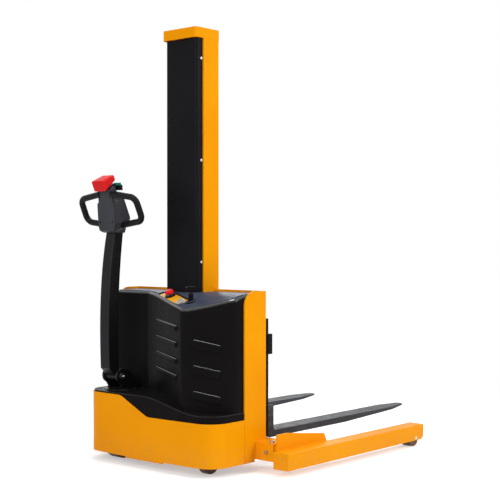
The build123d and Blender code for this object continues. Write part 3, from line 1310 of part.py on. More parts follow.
PIECES = {
    "chassis_frame": chassis_frame(),
    "rear_skirt": rear_skirt(),
    "hood": hood(),
    "switch_plate": switch_plate(),
    "estop_base": estop_base(),
    "estop_knob": estop_knob(),
    "battery_gauge": battery_gauge(),
    "key_switch": key_switch(),
    "key": key(),
    "battery_lower": battery(0),
    "battery_upper": battery(1),
    "motor_controller": motor_controller(),
    "oil_tank": oil_tank(),
    "pump_motor": pump_motor(),
    "mast_column_left": mast_column(),
    "mast_column_right": to_right(mast_column()),
    "mast_cap": mast_cap(),
    "mast_cover": mast_cover(),
    "cover_screws": cover_screws(),
    "lift_barrel": lift_barrel(),
    "piston_rod": piston_rod(),
    "chain_sheave": chain_sheave(),
    "chain_front": chain_front(),
    "chain_rear": chain_rear(),
    "chain_anchor": chain_anchor(),
    "carriage_frame": carriage_frame(),
    "roller_low_left": carriage_roller(ROLLER_LOW_Z),
    "roller_low_right": to_right(carriage_roller(ROLLER_LOW_Z)),
    "roller_high_left": carriage_roller(ROLLER_HIGH_Z),
    "roller_high_right": to_right(carriage_roller(ROLLER_HIGH_Z)),
    "fork_left": fork(),
    "fork_right": to_right(fork()),
    "fork_hanger_left": fork_hanger(),
    "fork_hanger_right": to_right(fork_hanger()),
    "leg_left": straddle_leg(),
    "leg_right": to_right(straddle_leg()),
    "leg_clamp_bolts": leg_clamp_bolts(),
    "load_axle_left": load_axle(),
    "load_axle_right": to_right(load_axle()),
    "load_wheel_left": load_wheel(),
    "load_wheel_right": to_right(load_wheel()),
    "drive_yoke": drive_yoke(),
    "steer_bearing": steer_bearing(),
    "drive_motor": drive_motor(),
    "drive_hub": drive_hub(),
    "drive_tyre": drive_tyre(),
    "tiller_bracket": tiller_bracket(),
    "tiller_pin": tiller_pin(),
    "tiller_arm": tiller_arm(),
    "head_housing": head_housing(),
    "handle_loop_left": handle_loop(),
    "handle_loop_right": Pos(0, 2 * STEER_Y, 0) * to_right(handle_loop()),
    "belly_button": belly_button(),
    "thumb_paddle": thumb_paddle(),
    "lift_button": head_button(LIFT_BUTTON_AT),
    "lower_button": head_button(LOWER_BUTTON_AT),
    "horn_button": head_button(HORN_BUTTON_AT),
    "caster_fork": caster_fork(),
    "caster_axle": caster_axle(),
    "caster_wheel": caster_wheel(),
}

# The origin lies on the floor under the middle of the truck's length
REAR_END = min(piece.bounding_box().min.X for piece in PIECES.values())
ORIGIN_X = (REAR_END + FORK_END) / 2

os.makedirs("parts", exist_ok=True)
for node, piece in PIECES.items():
    export_step(Pos(-ORIGIN_X, 0, 0) * piece, f"parts/{node}.step")
print("pieces", len(PIECES), "origin shift", round(ORIGIN_X, 3))
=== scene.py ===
import bpy
import bmesh
import json
import math
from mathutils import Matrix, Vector
from mathutils.bvhtree import BVHTree

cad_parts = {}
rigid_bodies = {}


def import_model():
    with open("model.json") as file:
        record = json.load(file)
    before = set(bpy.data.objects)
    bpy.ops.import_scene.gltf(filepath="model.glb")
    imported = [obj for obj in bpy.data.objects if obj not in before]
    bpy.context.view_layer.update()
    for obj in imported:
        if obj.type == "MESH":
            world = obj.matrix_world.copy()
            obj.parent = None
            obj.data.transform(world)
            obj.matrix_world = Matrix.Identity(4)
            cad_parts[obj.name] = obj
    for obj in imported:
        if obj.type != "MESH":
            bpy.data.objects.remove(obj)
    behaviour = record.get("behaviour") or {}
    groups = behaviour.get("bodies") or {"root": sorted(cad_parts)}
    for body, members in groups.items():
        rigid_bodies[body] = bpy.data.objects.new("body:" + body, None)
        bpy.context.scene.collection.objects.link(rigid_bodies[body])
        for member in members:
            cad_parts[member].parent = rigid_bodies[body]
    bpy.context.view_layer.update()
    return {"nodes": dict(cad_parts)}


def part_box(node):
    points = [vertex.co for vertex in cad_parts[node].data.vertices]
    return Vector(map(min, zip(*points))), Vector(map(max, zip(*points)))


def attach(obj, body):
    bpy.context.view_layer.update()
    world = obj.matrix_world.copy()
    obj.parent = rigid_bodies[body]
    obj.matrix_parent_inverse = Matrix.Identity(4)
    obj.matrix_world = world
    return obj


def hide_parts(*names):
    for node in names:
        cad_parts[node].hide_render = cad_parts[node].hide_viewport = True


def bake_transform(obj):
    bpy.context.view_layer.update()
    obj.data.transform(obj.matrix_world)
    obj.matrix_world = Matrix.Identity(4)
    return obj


for leftover in list(bpy.data.objects):
    bpy.data.objects.remove(leftover)
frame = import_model()


# Chassis: side plates, front panel, floor and leg sockets, cut from steel plate and welded.
# The weldment is powder coated in warm yellow, so every edge is a little rounded by the coat
# and the surface has the fine ripple of baked powder.
def colour(red, green, blue):
    """Paint colour in 0 to 255 as it looks, turned by the sRGB curve into a shader's linear values."""
    parts = []
    for level in (red, green, blue):
        share = level / 255
        parts.append(share / 12.92 if share <= 0.04045 else ((share + 0.055) / 1.055) ** 2.4)
    return (*parts, 1.0)


def put(tree, kind, inputs=None, **settings):
    """One shader node with its settings, and its inputs set or wired."""
    made = tree.nodes.new(kind)
    for key, value in settings.items():
        setattr(made, key, value)
    for key, value in (inputs or {}).items():
        if isinstance(value, bpy.types.NodeSocket):
            tree.links.new(value, made.inputs[key])
        else:
            made.inputs[key].default_value = value
    return made


def effect(name, inputs, outputs):
    """An empty shader group with number inputs and outputs of given kinds, and its two end nodes."""
    tree = bpy.data.node_groups.new(name, "ShaderNodeTree")
    for label, value in inputs.items():
        socket = tree.interface.new_socket(label, in_out="INPUT", socket_type="NodeSocketFloat")
        socket.default_value = value
    for label, kind in outputs.items():
        tree.interface.new_socket(label, in_out="OUTPUT", socket_type="NodeSocket" + kind)
    return tree, tree.nodes.new("NodeGroupInput").outputs, tree.nodes.new("NodeGroupOutput").inputs


def own_place(tree):
    """Place on the piece, in its own axes."""
    return put(tree, "ShaderNodeTexCoord").outputs["Object"]


def facing(tree):
    """Direction that the surface faces."""
    return put(tree, "ShaderNodeNewGeometry").outputs["Normal"]


def upright(tree, vector):
    """The upright share of a place or a direction."""
    return put(tree, "ShaderNodeSeparateXYZ", {0: vector}).outputs["Z"]


def noise(tree, scale, detail, stretch=(1.0, 1.0, 1.0)):
    """Noise value in the piece's own place, in waves per metre, drawn out along an axis by stretch."""
    spread = put(tree, "ShaderNodeMapping", {"Vector": own_place(tree), "Scale": stretch})
    wanted = {"Vector": spread.outputs["Vector"], "Scale": scale, "Detail": detail}
    return put(tree, "ShaderNodeTexNoise", wanted).outputs["Fac"]


def fit(tree, value, low, high, to_low=0.0, to_high=1.0):
    """A value moved from one range to another and held there."""
    wanted = {"Value": value, "From Min": low, "From Max": high, "To Min": to_low, "To Max": to_high}
    return put(tree, "ShaderNodeMapRange", wanted).outputs["Result"]


def combine(tree, operation, one, two):
    """Two values put together by a named operation."""
    return put(tree, "ShaderNodeMath", {0: one, 1: two}, operation=operation).outputs[0]


def product(tree, one, two):
    """Two values multiplied."""
    return combine(tree, "MULTIPLY", one, two)


def rounded(tree, radius, samples):
    """Normal that is rounded over corners, and how far it agrees with the plain one."""
    normal = put(tree, "ShaderNodeBevel", {"Radius": radius}, samples=samples).outputs["Normal"]
    turn = put(tree, "ShaderNodeVectorMath", {0: normal, 1: facing(tree)}, operation="DOT_PRODUCT")
    return normal, turn.outputs["Value"]


# Corners where the paint is rubbed off, in patches.
edge_rub, rub_in, rub_out = effect("edge_rub", {"Reach": 0.003, "Patches": 14.0}, {"Mask": "Float"})
agree = rounded(edge_rub, rub_in["Reach"], 6)[1]
corner = fit(edge_rub, agree, 0.97, 0.78)
patchy = fit(edge_rub, noise(edge_rub, rub_in["Patches"], 4.0), 0.44, 0.62)
edge_rub.links.new(product(edge_rub, corner, patchy), rub_out["Mask"])

# Slow drift in clouds, for tones and for roughness.
drift_range = {"Scale": 3.0, "Low": 0.0, "High": 1.0}
tone_drift, drift_in, drift_out = effect("tone_drift", drift_range, {"Factor": "Float"})
cloud = noise(tone_drift, drift_in["Scale"], 5.0)
drift = fit(tone_drift, cloud, 0.32, 0.68, drift_in["Low"], drift_in["High"])
tone_drift.links.new(drift, drift_out["Factor"])

# Dust in specks, more of it towards the floor.
floor_dust, dust_in, dust_out = effect("floor_dust", {"Height": 0.25, "Strength": 0.3}, {"Mask": "Float"})
low_down = fit(floor_dust, upright(floor_dust, own_place(floor_dust)), dust_in["Height"], 0.0)
specks = fit(floor_dust, noise(floor_dust, 60.0, 6.0), 0.4, 0.75)
settled = product(floor_dust, product(floor_dust, low_down, specks), dust_in["Strength"])
floor_dust.links.new(settled, dust_out["Mask"])

# Height of a fine surface grain.
skin_grain, grain_in, grain_out = effect("skin_grain", {"Scale": 900.0}, {"Height": "Float"})
skin_grain.links.new(noise(skin_grain, grain_in["Scale"], 2.0), grain_out["Height"])


class Finish:
    """A material in the making: its node tree, its shader and the mixing that all finishes share."""

    def __init__(self, name, roughness, specular=0.5, metallic=0.0):
        self.slot = name
        self.material = bpy.data.materials.new(name)
        self.material.use_nodes = True
        self.tree = self.material.node_tree
        self.shader = self.tree.nodes["Principled BSDF"]
        self.fix("Roughness", roughness)
        self.fix("Specular IOR Level", specular)
        self.fix("Metallic", metallic)

    def fix(self, socket, value):
        """Set one of the shader's inputs for the whole surface."""
        self.shader.inputs[socket].default_value = value

    def wire(self, socket, value):
        """Feed one of the shader's inputs."""
        self.tree.links.new(value, self.shader.inputs[socket])

    def group(self, tree, output, **values):
        """A shared effect with this finish's own values."""
        made = put(self.tree, "ShaderNodeGroup", node_tree=tree)
        for key, value in values.items():
            made.inputs[key].default_value = value
        return made.outputs[output]

    def mix(self, mask, one, two):
        """One colour going over into another where the mask is white."""
        made = put(self.tree, "ShaderNodeMix", data_type="RGBA")
        self.tree.links.new(mask, made.inputs["Factor"])
        for socket, value in ((made.inputs[6], one), (made.inputs[7], two)):
            if isinstance(value, bpy.types.NodeSocket):
                self.tree.links.new(value, socket)
            else:
                socket.default_value = value
        return made.outputs[2]

    def tone(self, scale, one, two):
        """A colour that drifts between two tones, in clouds of a given scale."""
        return self.mix(self.group(tone_drift, "Factor", Scale=scale), one, two)

    def tint(self, scale, one, two):
        """Let the colour of the whole surface drift between two tones."""
        self.wire("Base Color", self.tone(scale, one, two))

    def gloss(self, scale, low, high):
        """Let the roughness drift between two levels."""
        self.wire("Roughness", self.group(tone_drift, "Factor", Scale=scale, Low=low, High=high))

    def grain(self, scale, depth, normal=None):
        """Raise the surface in a fine grain, depth metres at most, from a normal of its own if given."""
        height = self.group(skin_grain, "Height", Scale=scale)
        made = put(self.tree, "ShaderNodeBump", {"Height": height, "Distance": depth, "Strength": 1.0})
        if normal:
            self.tree.links.new(normal, made.inputs["Normal"])
        self.wire("Normal", made.outputs["Normal"])


def dress(finish, *names):
    """Give CAD nodes a finish."""
    for name in names:
        node = frame["nodes"][name]
        node.data.materials.clear()
        node.data.materials.append(finish.material)


EDGE_STEPS = 3
EDGE_ANGLE = math.radians(30.0)
FLAT_ANGLE = math.radians(0.2)
JOIN_REACH = 0.00001
FACE_WEIGHT = 90


def soften(width, *names):
    """Round the sharp edges of CAD nodes by a real radius, in metres."""
    for name in names:
        node = frame["nodes"][name]
        weld = node.modifiers.new("join_faces", "WELD")
        weld.merge_threshold = JOIN_REACH
        flat = node.modifiers.new("plain_faces", "DECIMATE")
        flat.decimate_type = "DISSOLVE"
        flat.angle_limit = FLAT_ANGLE
        edge = node.modifiers.new("edge_radius", "BEVEL")
        edge.width = width
        edge.segments = EDGE_STEPS
        edge.limit_method = "ANGLE"
        edge.angle_limit = EDGE_ANGLE
        edge.use_clamp_overlap = False
        edge.miter_outer = "MITER_ARC"
        shade = node.modifiers.new("even_shading", "WEIGHTED_NORMAL")
        shade.keep_sharp = False
        shade.weight = FACE_WEIGHT
        for polygon in node.data.polygons:
            polygon.use_smooth = True


YELLOW = colour(246, 160, 2)
YELLOW_DEEP = colour(240, 150, 0)
PRIMER = colour(120, 96, 60)
DUST = colour(150, 140, 122)

yellow_paint = Finish("yellow_paint", roughness=0.36, specular=0.04)
rub = yellow_paint.group(edge_rub, "Mask", Reach=0.0025, Patches=16.0)
worn = yellow_paint.mix(rub, yellow_paint.tone(scale=2.2, one=YELLOW, two=YELLOW_DEEP), PRIMER)
dust = yellow_paint.group(floor_dust, "Mask", Height=0.16, Strength=0.22)
yellow_paint.wire("Base Color", yellow_paint.mix(dust, worn, DUST))
yellow_paint.gloss(scale=35.0, low=0.3, high=0.42)
yellow_paint.grain(scale=420.0, depth=0.00006)
dress(yellow_paint, "chassis_frame")
soften(0.0005, "chassis_frame")


def place_piece(name, mesh, finish, body=None):
    """Turn a mesh in the making into a piece with a finish, carried by a body."""
    bmesh.ops.recalc_face_normals(mesh, faces=mesh.faces)
    data = bpy.data.meshes.new(name)
    mesh.to_mesh(data)
    mesh.free()
    data.materials.append(finish.material)
    piece = bpy.data.objects.new(name, data)
    bpy.context.scene.collection.objects.link(piece)
    if body:
        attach(piece, body)
    return piece


WELD_SIZE = 0.0045
WELD_RIPPLE = 0.0016
WELD_STEPS = 5
WELD_SWELL = 0.09
WELD_WAVE = math.pi / 1.5
WELD_ROOT = 0.1
WELD_END = 0.35
WELD_RISE = 0.3
LEAST_RIPPLES = 4


def wall(mesh, near, far, smooth=False):
    """Faces between two rings of as many corners."""
    for index in range(len(near)):
        following = (index + 1) % len(near)
        face = mesh.faces.new((near[index], near[following], far[following], far[index]))
        face.smooth = smooth


def add_weld(mesh, start, end, one, two, size=WELD_SIZE):
    """Rippled fillet weld from start to end, in the corner between faces that look along one and two."""
    start, end, one, two = (Vector(value) for value in (start, end, one, two))
    count = max(LEAST_RIPPLES, round((end - start).length / WELD_RIPPLE))
    rings = []
    for row in range(count + 1):
        middle = start.lerp(end, row / count)
        taper = min(1.0, WELD_END + WELD_RISE * min(row, count - row))
        reach = size * (1.0 + WELD_SWELL * math.sin(row * WELD_WAVE)) * taper
        ring = [mesh.verts.new(middle - (one + two) * size * WELD_ROOT)]
        for step in range(WELD_STEPS + 1):
            turn = math.pi / 2 * step / WELD_STEPS
            ring.append(mesh.verts.new(middle + (one * math.cos(turn) + two * math.sin(turn)) * reach))
        rings.append(ring)
    for near, far in zip(rings, rings[1:]):
        wall(mesh, near, far, smooth=True)
    mesh.faces.new(rings[0])
    mesh.faces.new(reversed(rings[-1]))


# part.py measures from the mast cap's rear edge, so its lengths start at this datum.
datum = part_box("mast_cap")[0].x
plate_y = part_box("rear_skirt")[1].y
SOCKET_X = (datum + 0.060, datum + 0.135)
SOCKET_Z = (0.054, 0.129)
welds = bmesh.new()
for side in (1, -1):
    top = [(x, side * plate_y, SOCKET_Z[1]) for x in SOCKET_X]
    back = [(SOCKET_X[0], side * plate_y, z) for z in SOCKET_Z]
    add_weld(welds, *top, (0, 0, 1), (0, side, 0))
    add_weld(welds, *back, (-1, 0, 0), (0, side, 0))
place_piece("socket_welds", welds, yellow_paint, "truck")


# Rear skirt: one pressed steel wrap round the drive wheel and the caster, with the same coat
# as the chassis. Its upper edge steps up under the tiller.
dress(yellow_paint, "rear_skirt")
soften(0.0012, "rear_skirt")


# Power pack under the hood: two stacked lead batteries, the motor controller, the oil tank
# and the pump with its motor. Cases are moulded plastic and painted metal, bolted to the floor.
battery_case = Finish("battery_case", roughness=0.5, specular=0.35)
battery_case.tint(scale=6.0, one=colour(38, 39, 42), two=colour(52, 53, 57))
battery_case.grain(scale=700.0, depth=0.0001)
dress(battery_case, "battery_lower", "battery_upper")
soften(0.002, "battery_lower", "battery_upper")

tank_plastic = Finish("tank_plastic", roughness=0.45, specular=0.4)
tank_plastic.tint(scale=5.0, one=colour(214, 210, 196), two=colour(192, 186, 168))
tank_plastic.grain(scale=300.0, depth=0.0001)
dress(tank_plastic, "oil_tank")
soften(0.004, "oil_tank")

cast_metal = Finish("cast_metal", roughness=0.5, metallic=0.85)
cast_metal.tint(scale=30.0, one=colour(120, 121, 124), two=colour(150, 151, 153))
cast_metal.gloss(scale=120.0, low=0.4, high=0.6)
cast_metal.grain(scale=600.0, depth=0.0002)
dress(cast_metal, "motor_controller", "pump_motor")
soften(0.002, "motor_controller", "pump_motor")


# Lift cylinder: a painted steel barrel with a hard-chromed rod, whose yoke carries the chain
# sheave on a pin. A half collar on the barrel holds the chain's fixed end.
black_paint = Finish("black_paint", roughness=0.42, specular=0.06)
black_rub = black_paint.group(edge_rub, "Mask", Reach=0.002, Patches=20.0)
black_base = black_paint.tone(scale=4.0, one=colour(13, 13, 16), two=colour(18, 18, 22))
black_paint.wire("Base Color", black_paint.mix(black_rub, black_base, colour(70, 70, 72)))
black_paint.gloss(scale=40.0, low=0.34, high=0.5)
black_paint.grain(scale=500.0, depth=0.00006)
dress(black_paint, "lift_barrel")
soften(0.0015, "lift_barrel")

rod_chrome = Finish("rod_chrome", roughness=0.12, metallic=1.0)
rod_chrome.tint(scale=12.0, one=colour(212, 214, 218), two=colour(196, 199, 204))
rod_chrome.gloss(scale=90.0, low=0.08, high=0.18)
dress(rod_chrome, "piston_rod")
soften(0.0006, "piston_rod")

zinc_steel = Finish("zinc_steel", roughness=0.32, metallic=1.0)
zinc_steel.tint(scale=60.0, one=colour(198, 200, 202), two=colour(172, 174, 177))
zinc_steel.gloss(scale=200.0, low=0.24, high=0.42)
zinc_steel.grain(scale=1500.0, depth=0.00004)
dress(zinc_steel, "chain_sheave", "chain_anchor")
soften(0.001, "chain_sheave", "chain_anchor")


# Mast: two rolled channels and a folded cap in the chassis yellow, closed at the back by a bent
# black sheet that button screws hold to the columns.
dress(yellow_paint, "mast_column_left", "mast_column_right", "mast_cap")
soften(0.0006, "mast_column_left", "mast_column_right")
soften(0.0004, "mast_cap")
dress(black_paint, "mast_cover")
soften(0.0003, "mast_cover")
dress(zinc_steel, "cover_screws")


# Lift chain: a leaf chain of steel plates on cross pins, from its anchor over the sheave and down
# to the carriage. It is drawn in three stretches: the arch over the sheave rides on the lift rod,
# and the two straight runs stay fixed where they are built.
PITCH = 0.0127
PLATE_HEIGHT = 0.0088
PLATE_THICK = 0.0017
PLATE_STEPS = 6
WIDE_LINK = (-0.0066, -0.0022, 0.0022, 0.0066)
NARROW_LINK = (-0.0044, 0.0, 0.0044)
up = Vector((0, 0, 1))


def chain_link(mesh, middle, along, offsets):
    """Plates of one link, with round ends."""
    across = Vector((0, 1, 0))
    outward = along.cross(across)
    outline = []
    for end in (1, -1):
        for step in range(PLATE_STEPS + 1):
            turn = math.pi * (step / PLATE_STEPS - 0.5)
            reach = PITCH / 2 + math.cos(turn) * PLATE_HEIGHT / 2
            outline.append((end * reach, end * math.sin(turn) * PLATE_HEIGHT / 2))
    for offset in offsets:
        rings = []
        for side in (-0.5, 0.5):
            shift = middle + across * (offset + side * PLATE_THICK)
            rings.append([mesh.verts.new(shift + along * a + outward * b) for a, b in outline])
        mesh.faces.new(rings[0])
        mesh.faces.new(reversed(rings[1]))
        wall(mesh, *rings)


def chain_stretch(name, places):
    """A stretch of chain through places, each a middle point and a direction."""
    mesh = bmesh.new()
    for index, (middle, along) in enumerate(places):
        chain_link(mesh, middle, along, NARROW_LINK if index % 2 else WIDE_LINK)
    return place_piece(name, mesh, zinc_steel)


def straight_places(x, start, end):
    """Middles and direction of the links of an upright run, from one height to another."""
    count = int(abs(end - start) / PITCH)
    return [(Vector((x, 0, start + (step + 0.5) * (end - start) / count)), up) for step in range(count)]


sheave_low, sheave_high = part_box("chain_sheave")
sheave = (sheave_low + sheave_high) / 2
front_low, front_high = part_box("chain_front")
rear_low, rear_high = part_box("chain_rear")
half_chain = (rear_high.x - rear_low.x) / 2
wrap = front_high.x - half_chain - sheave.x

arch_count = round(math.pi * wrap / PITCH)
arch_places = []
for step in range(arch_count):
    turn = math.pi * (step + 0.5) / arch_count
    radial = Vector((-math.cos(turn), 0, math.sin(turn)))
    arch_places.append((sheave + radial * wrap, Vector((math.sin(turn), 0, math.cos(turn)))))
chain_arch = chain_stretch("chain_over_sheave", arch_places)
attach(chain_arch, "lift_rod")
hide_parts("chain_front")

# The sheave rises half as far as the carriage; this run hangs straight from the sheave's height down to
# the carriage.
run_x = sheave.x + wrap
chain_run = chain_stretch("chain_to_carriage", straight_places(run_x, sheave.z, front_low.z))
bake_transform(chain_run)
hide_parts("chain_front")

fixed_x = sheave.x - wrap
chain_fixed = chain_stretch("chain_to_anchor", straight_places(fixed_x, rear_low.z, sheave.z))
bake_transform(chain_fixed)
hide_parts("chain_rear")


# Fork carriage: two flame-cut cheeks, a chain tie and two bars, welded and painted black.
# It runs on four turned steel rollers inside the mast channels.
dress(black_paint, "carriage_frame")
soften(0.0008, "carriage_frame")
dress(cast_metal, "roller_low_left", "roller_low_right", "roller_high_left", "roller_high_right")

CHEEK_Y = 0.058
BAR_REAR = datum + 0.190
BAR_SPANS = ((0.183, 0.257), (0.500, 0.584))
welds = bmesh.new()
for side in (1, -1):
    for span in BAR_SPANS:
        corner_line = [(BAR_REAR, side * CHEEK_Y, z) for z in span]
        add_weld(welds, *corner_line, (-1, 0, 0), (0, side, 0))
place_piece("carriage_welds", welds, black_paint, "carriage")


# Forks: black hangers hooked over the upper bar, and grey forged blades with a heel block.
# The blades are scuffed lengthwise where pallets slide on and off.
dress(black_paint, "fork_hanger_left", "fork_hanger_right")
soften(0.003, "fork_hanger_left", "fork_hanger_right")

SCUFF_STRETCH = (4.0, 260.0, 60.0)
fork_paint = Finish("fork_paint", roughness=0.45, specular=0.08)
fork_base = fork_paint.tone(scale=5.0, one=colour(68, 70, 74), two=colour(58, 60, 64))
scuffs = fit(fork_paint.tree, noise(fork_paint.tree, 1.0, 6.0, SCUFF_STRETCH), 0.56, 0.7, 0.0, 0.6)
fork_worn = fork_paint.mix(scuffs, fork_base, colour(94, 96, 99))
fork_rub = fork_paint.group(edge_rub, "Mask", Reach=0.004, Patches=10.0)
fork_paint.wire("Base Color", fork_paint.mix(fork_rub, fork_worn, colour(112, 113, 116)))
fork_paint.gloss(scale=30.0, low=0.36, high=0.55)
fork_paint.grain(scale=350.0, depth=0.00008)
dress(fork_paint, "fork_left", "fork_right")
soften(0.003, "fork_left", "fork_right")

for side in ("left", "right"):
    hanger_low, hanger_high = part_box(f"fork_hanger_{side}")
    heel_top = hanger_low.z
    hanger_front = hanger_high.x
    welds = bmesh.new()
    across = [(hanger_front, y, heel_top) for y in (hanger_low.y, hanger_high.y)]
    add_weld(welds, *across, (0, 0, 1), (1, 0, 0))
    for y, outward in ((hanger_low.y, -1), (hanger_high.y, 1)):
        along = [(x, y, heel_top) for x in (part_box(f"fork_{side}")[0].x, hanger_front)]
        add_weld(welds, *along, (0, 0, 1), (0, outward, 0))
    place_piece(f"fork_welds_{side}", welds, black_paint, f"{side}_fork")


# Straddle legs: box beams with a gusset and a stub that clamp bolts hold in the chassis sockets,
# in the chassis yellow. Each leg carries a polyurethane wheel on a plain axle near its tip.
dress(yellow_paint, "leg_left", "leg_right")
soften(0.0008, "leg_left", "leg_right")
dress(zinc_steel, "leg_clamp_bolts", "load_axle_left", "load_axle_right")

BEAM_TOP = 0.102
GUSSET_X = (datum + 0.064, datum + 0.410)
GUSSET_THICK = 0.008
BEAM_WIDTH = 0.080
STUB_X = (datum + 0.0665, datum + 0.1785)
STUB_TOP = 0.1225
STUB_WELD = 0.003
for side, sign in (("left", 1), ("right", -1)):
    leg_low, leg_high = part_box(f"leg_{side}")
    outer = max(leg_low.y * sign, leg_high.y * sign)
    inner = sign * (outer - BEAM_WIDTH)
    welds = bmesh.new()
    add_weld(welds, *[(x, inner, BEAM_TOP) for x in GUSSET_X], (0, 0, 1), (0, sign, 0))
    stub_y = inner - sign * GUSSET_THICK
    add_weld(welds, *[(x, stub_y, STUB_TOP) for x in STUB_X], (0, 0, 1), (0, -sign, 0), STUB_WELD)
    place_piece(f"leg_welds_{side}", welds, yellow_paint, f"{side}_leg")

wheel_tread = Finish("wheel_tread", roughness=0.5, specular=0.35)
tread_base = wheel_tread.tone(scale=25.0, one=colour(96, 62, 34), two=colour(76, 50, 30))
tread_dust = wheel_tread.group(floor_dust, "Mask", Height=0.3, Strength=0.5)
wheel_tread.wire("Base Color", wheel_tread.mix(tread_dust, tread_base, colour(110, 98, 82)))
wheel_tread.gloss(scale=80.0, low=0.42, high=0.65)
wheel_tread.grain(scale=500.0, depth=0.00015)
dress(wheel_tread, "load_wheel_left", "load_wheel_right")


# Steered drive unit: a welded yoke whose post turns in a bearing ring in the deck, a cast wheel
# motor with a fixed axle, and a hub with a solid polyurethane tyre pressed on.
dress(black_paint, "drive_yoke")
soften(0.0008, "drive_yoke")
dress(zinc_steel, "steer_bearing")
dress(cast_metal, "drive_motor", "drive_hub")
dress(wheel_tread, "drive_tyre")


# Caster at the right rear: a pressed steel fork whose stem swivels in a boss of the chassis
# floor, a plain steel axle and a solid wheel.
dress(black_paint, "caster_fork")
soften(0.0008, "caster_fork")
dress(zinc_steel, "caster_axle")
dress(wheel_tread, "caster_wheel")


# Hood: one moulded black cover with louvres, a sunken console and a deck that flares down to the
# skirt, set against the chassis plates. The plastic has a fine satin grain and glossy upper edges, and
# a painted bluish sheen on its level upper parts stands in for the sky's reflection.

# Normals rounded at corners, a mask of open edges, and one of edges and bends that lean upward.
round_kinds = {"Normal": "Vector", "Mask": "Float", "Upper": "Float"}
edge_round, round_in, round_out = effect("edge_round", {"Radius": 0.003}, round_kinds)
round_normal, alike = rounded(edge_round, round_in["Radius"], 8)
edge_round.links.new(round_normal, round_out["Normal"])
near_by = product(edge_round, round_in["Radius"], 1.5)
open_side = put(edge_round, "ShaderNodeAmbientOcclusion", {"Distance": near_by}, samples=8).outputs["AO"]
on_edge = product(edge_round, fit(edge_round, alike, 0.995, 0.9), fit(edge_round, open_side, 0.7, 0.95))
edge_round.links.new(on_edge, round_out["Mask"])
round_slope = upright(edge_round, round_normal)
upper_edge = product(edge_round, on_edge, fit(edge_round, round_slope, 0.15, 0.55))
face_slope = upright(edge_round, facing(edge_round))
leaning = fit(edge_round, face_slope, 0.3, 0.6)
not_level = fit(edge_round, face_slope, 0.88, 0.72)
upper_roll = product(edge_round, leaning, not_level)
edge_round.links.new(combine(edge_round, "MAXIMUM", upper_edge, upper_roll), round_out["Upper"])

# Painted sheen: a patchy mask for a bluish reflection of the sky, painted on what lies level above a
# height.
painted_top_sheen, sheen_in, sheen_out = effect("painted_top_sheen", {"Above": 0.6, "Strength": 0.5}, {"Mask": "Float"})
sheen_height = upright(painted_top_sheen, own_place(painted_top_sheen))
high_up = combine(painted_top_sheen, "GREATER_THAN", sheen_height, sheen_in["Above"])
lying = product(painted_top_sheen, high_up, fit(painted_top_sheen, upright(painted_top_sheen, facing(painted_top_sheen)), 0.7, 0.95))
painted_sheen = product(painted_top_sheen, lying, fit(painted_top_sheen, noise(painted_top_sheen, 9.0, 4.0), 0.3, 0.6, 0.6, 1.0))
painted_top_sheen.links.new(product(painted_top_sheen, painted_sheen, sheen_in["Strength"]), sheen_out["Mask"])

PLASTIC_EDGE = 0.004
black_plastic = Finish("black_plastic", roughness=0.34, specular=0.02)
black_plastic.fix("Coat Roughness", 0.14)
black_plastic.fix("Coat IOR", 1.8)
plastic_base = black_plastic.tone(scale=3.0, one=colour(18, 16, 17), two=colour(23, 21, 22))
plastic_dust = black_plastic.group(floor_dust, "Mask", Height=0.36, Strength=0.1)
plastic_low = black_plastic.mix(plastic_dust, plastic_base, colour(90, 84, 76))
# Painted reflection: the bluish colour laid on the hood's level tops by this mask stands for the sky's
# reflection.
plastic_sheen_mask = black_plastic.group(painted_top_sheen, "Mask", Above=0.6, Strength=0.7)
black_plastic.wire("Base Color", black_plastic.mix(plastic_sheen_mask, plastic_low, colour(80, 88, 106)))
black_plastic.gloss(scale=50.0, low=0.3, high=0.42)
black_plastic.wire("Coat Weight", black_plastic.group(edge_round, "Upper", Radius=PLASTIC_EDGE))
plastic_normal = black_plastic.group(edge_round, "Normal", Radius=PLASTIC_EDGE)
black_plastic.grain(scale=1100.0, depth=0.00008, normal=plastic_normal)
dress(black_plastic, "hood")


# Console: a painted yellow plate that lies in the hood's tray, with the moulded emergency stop and
# the battery gauge on it. The key switch stands beside the tray with its key in it.
plate_yellow = Finish("plate_yellow", roughness=0.4, specular=0.4)
plate_yellow.tint(scale=20.0, one=colour(246, 176, 16), two=colour(236, 162, 10))
dress(plate_yellow, "switch_plate")

red_plastic = Finish("red_plastic", roughness=0.34, specular=0.08)
red_plastic.tint(scale=14.0, one=colour(224, 36, 36), two=colour(210, 28, 30))
red_plastic.gloss(scale=90.0, low=0.28, high=0.4)
red_plastic.grain(scale=1300.0, depth=0.00001)
dress(red_plastic, "estop_knob")

gauge_plastic = Finish("gauge_plastic", roughness=0.4, specular=0.4)
gauge_plastic.tint(scale=40.0, one=colour(200, 202, 204), two=colour(178, 180, 184))
dress(gauge_plastic, "battery_gauge")
dress(black_plastic, "estop_base", "key_switch", "key")


ROUND_STEPS = 32


def strike(name, start, toward):
    """Place and outward direction where a line from start first meets a CAD node."""
    node = frame["nodes"][name]
    corners = [node.matrix_world @ vertex.co for vertex in node.data.vertices]
    faces = [list(polygon.vertices) for polygon in node.data.polygons]
    return BVHTree.FromPolygons(corners, faces).ray_cast(Vector(start), Vector(toward))[:2]


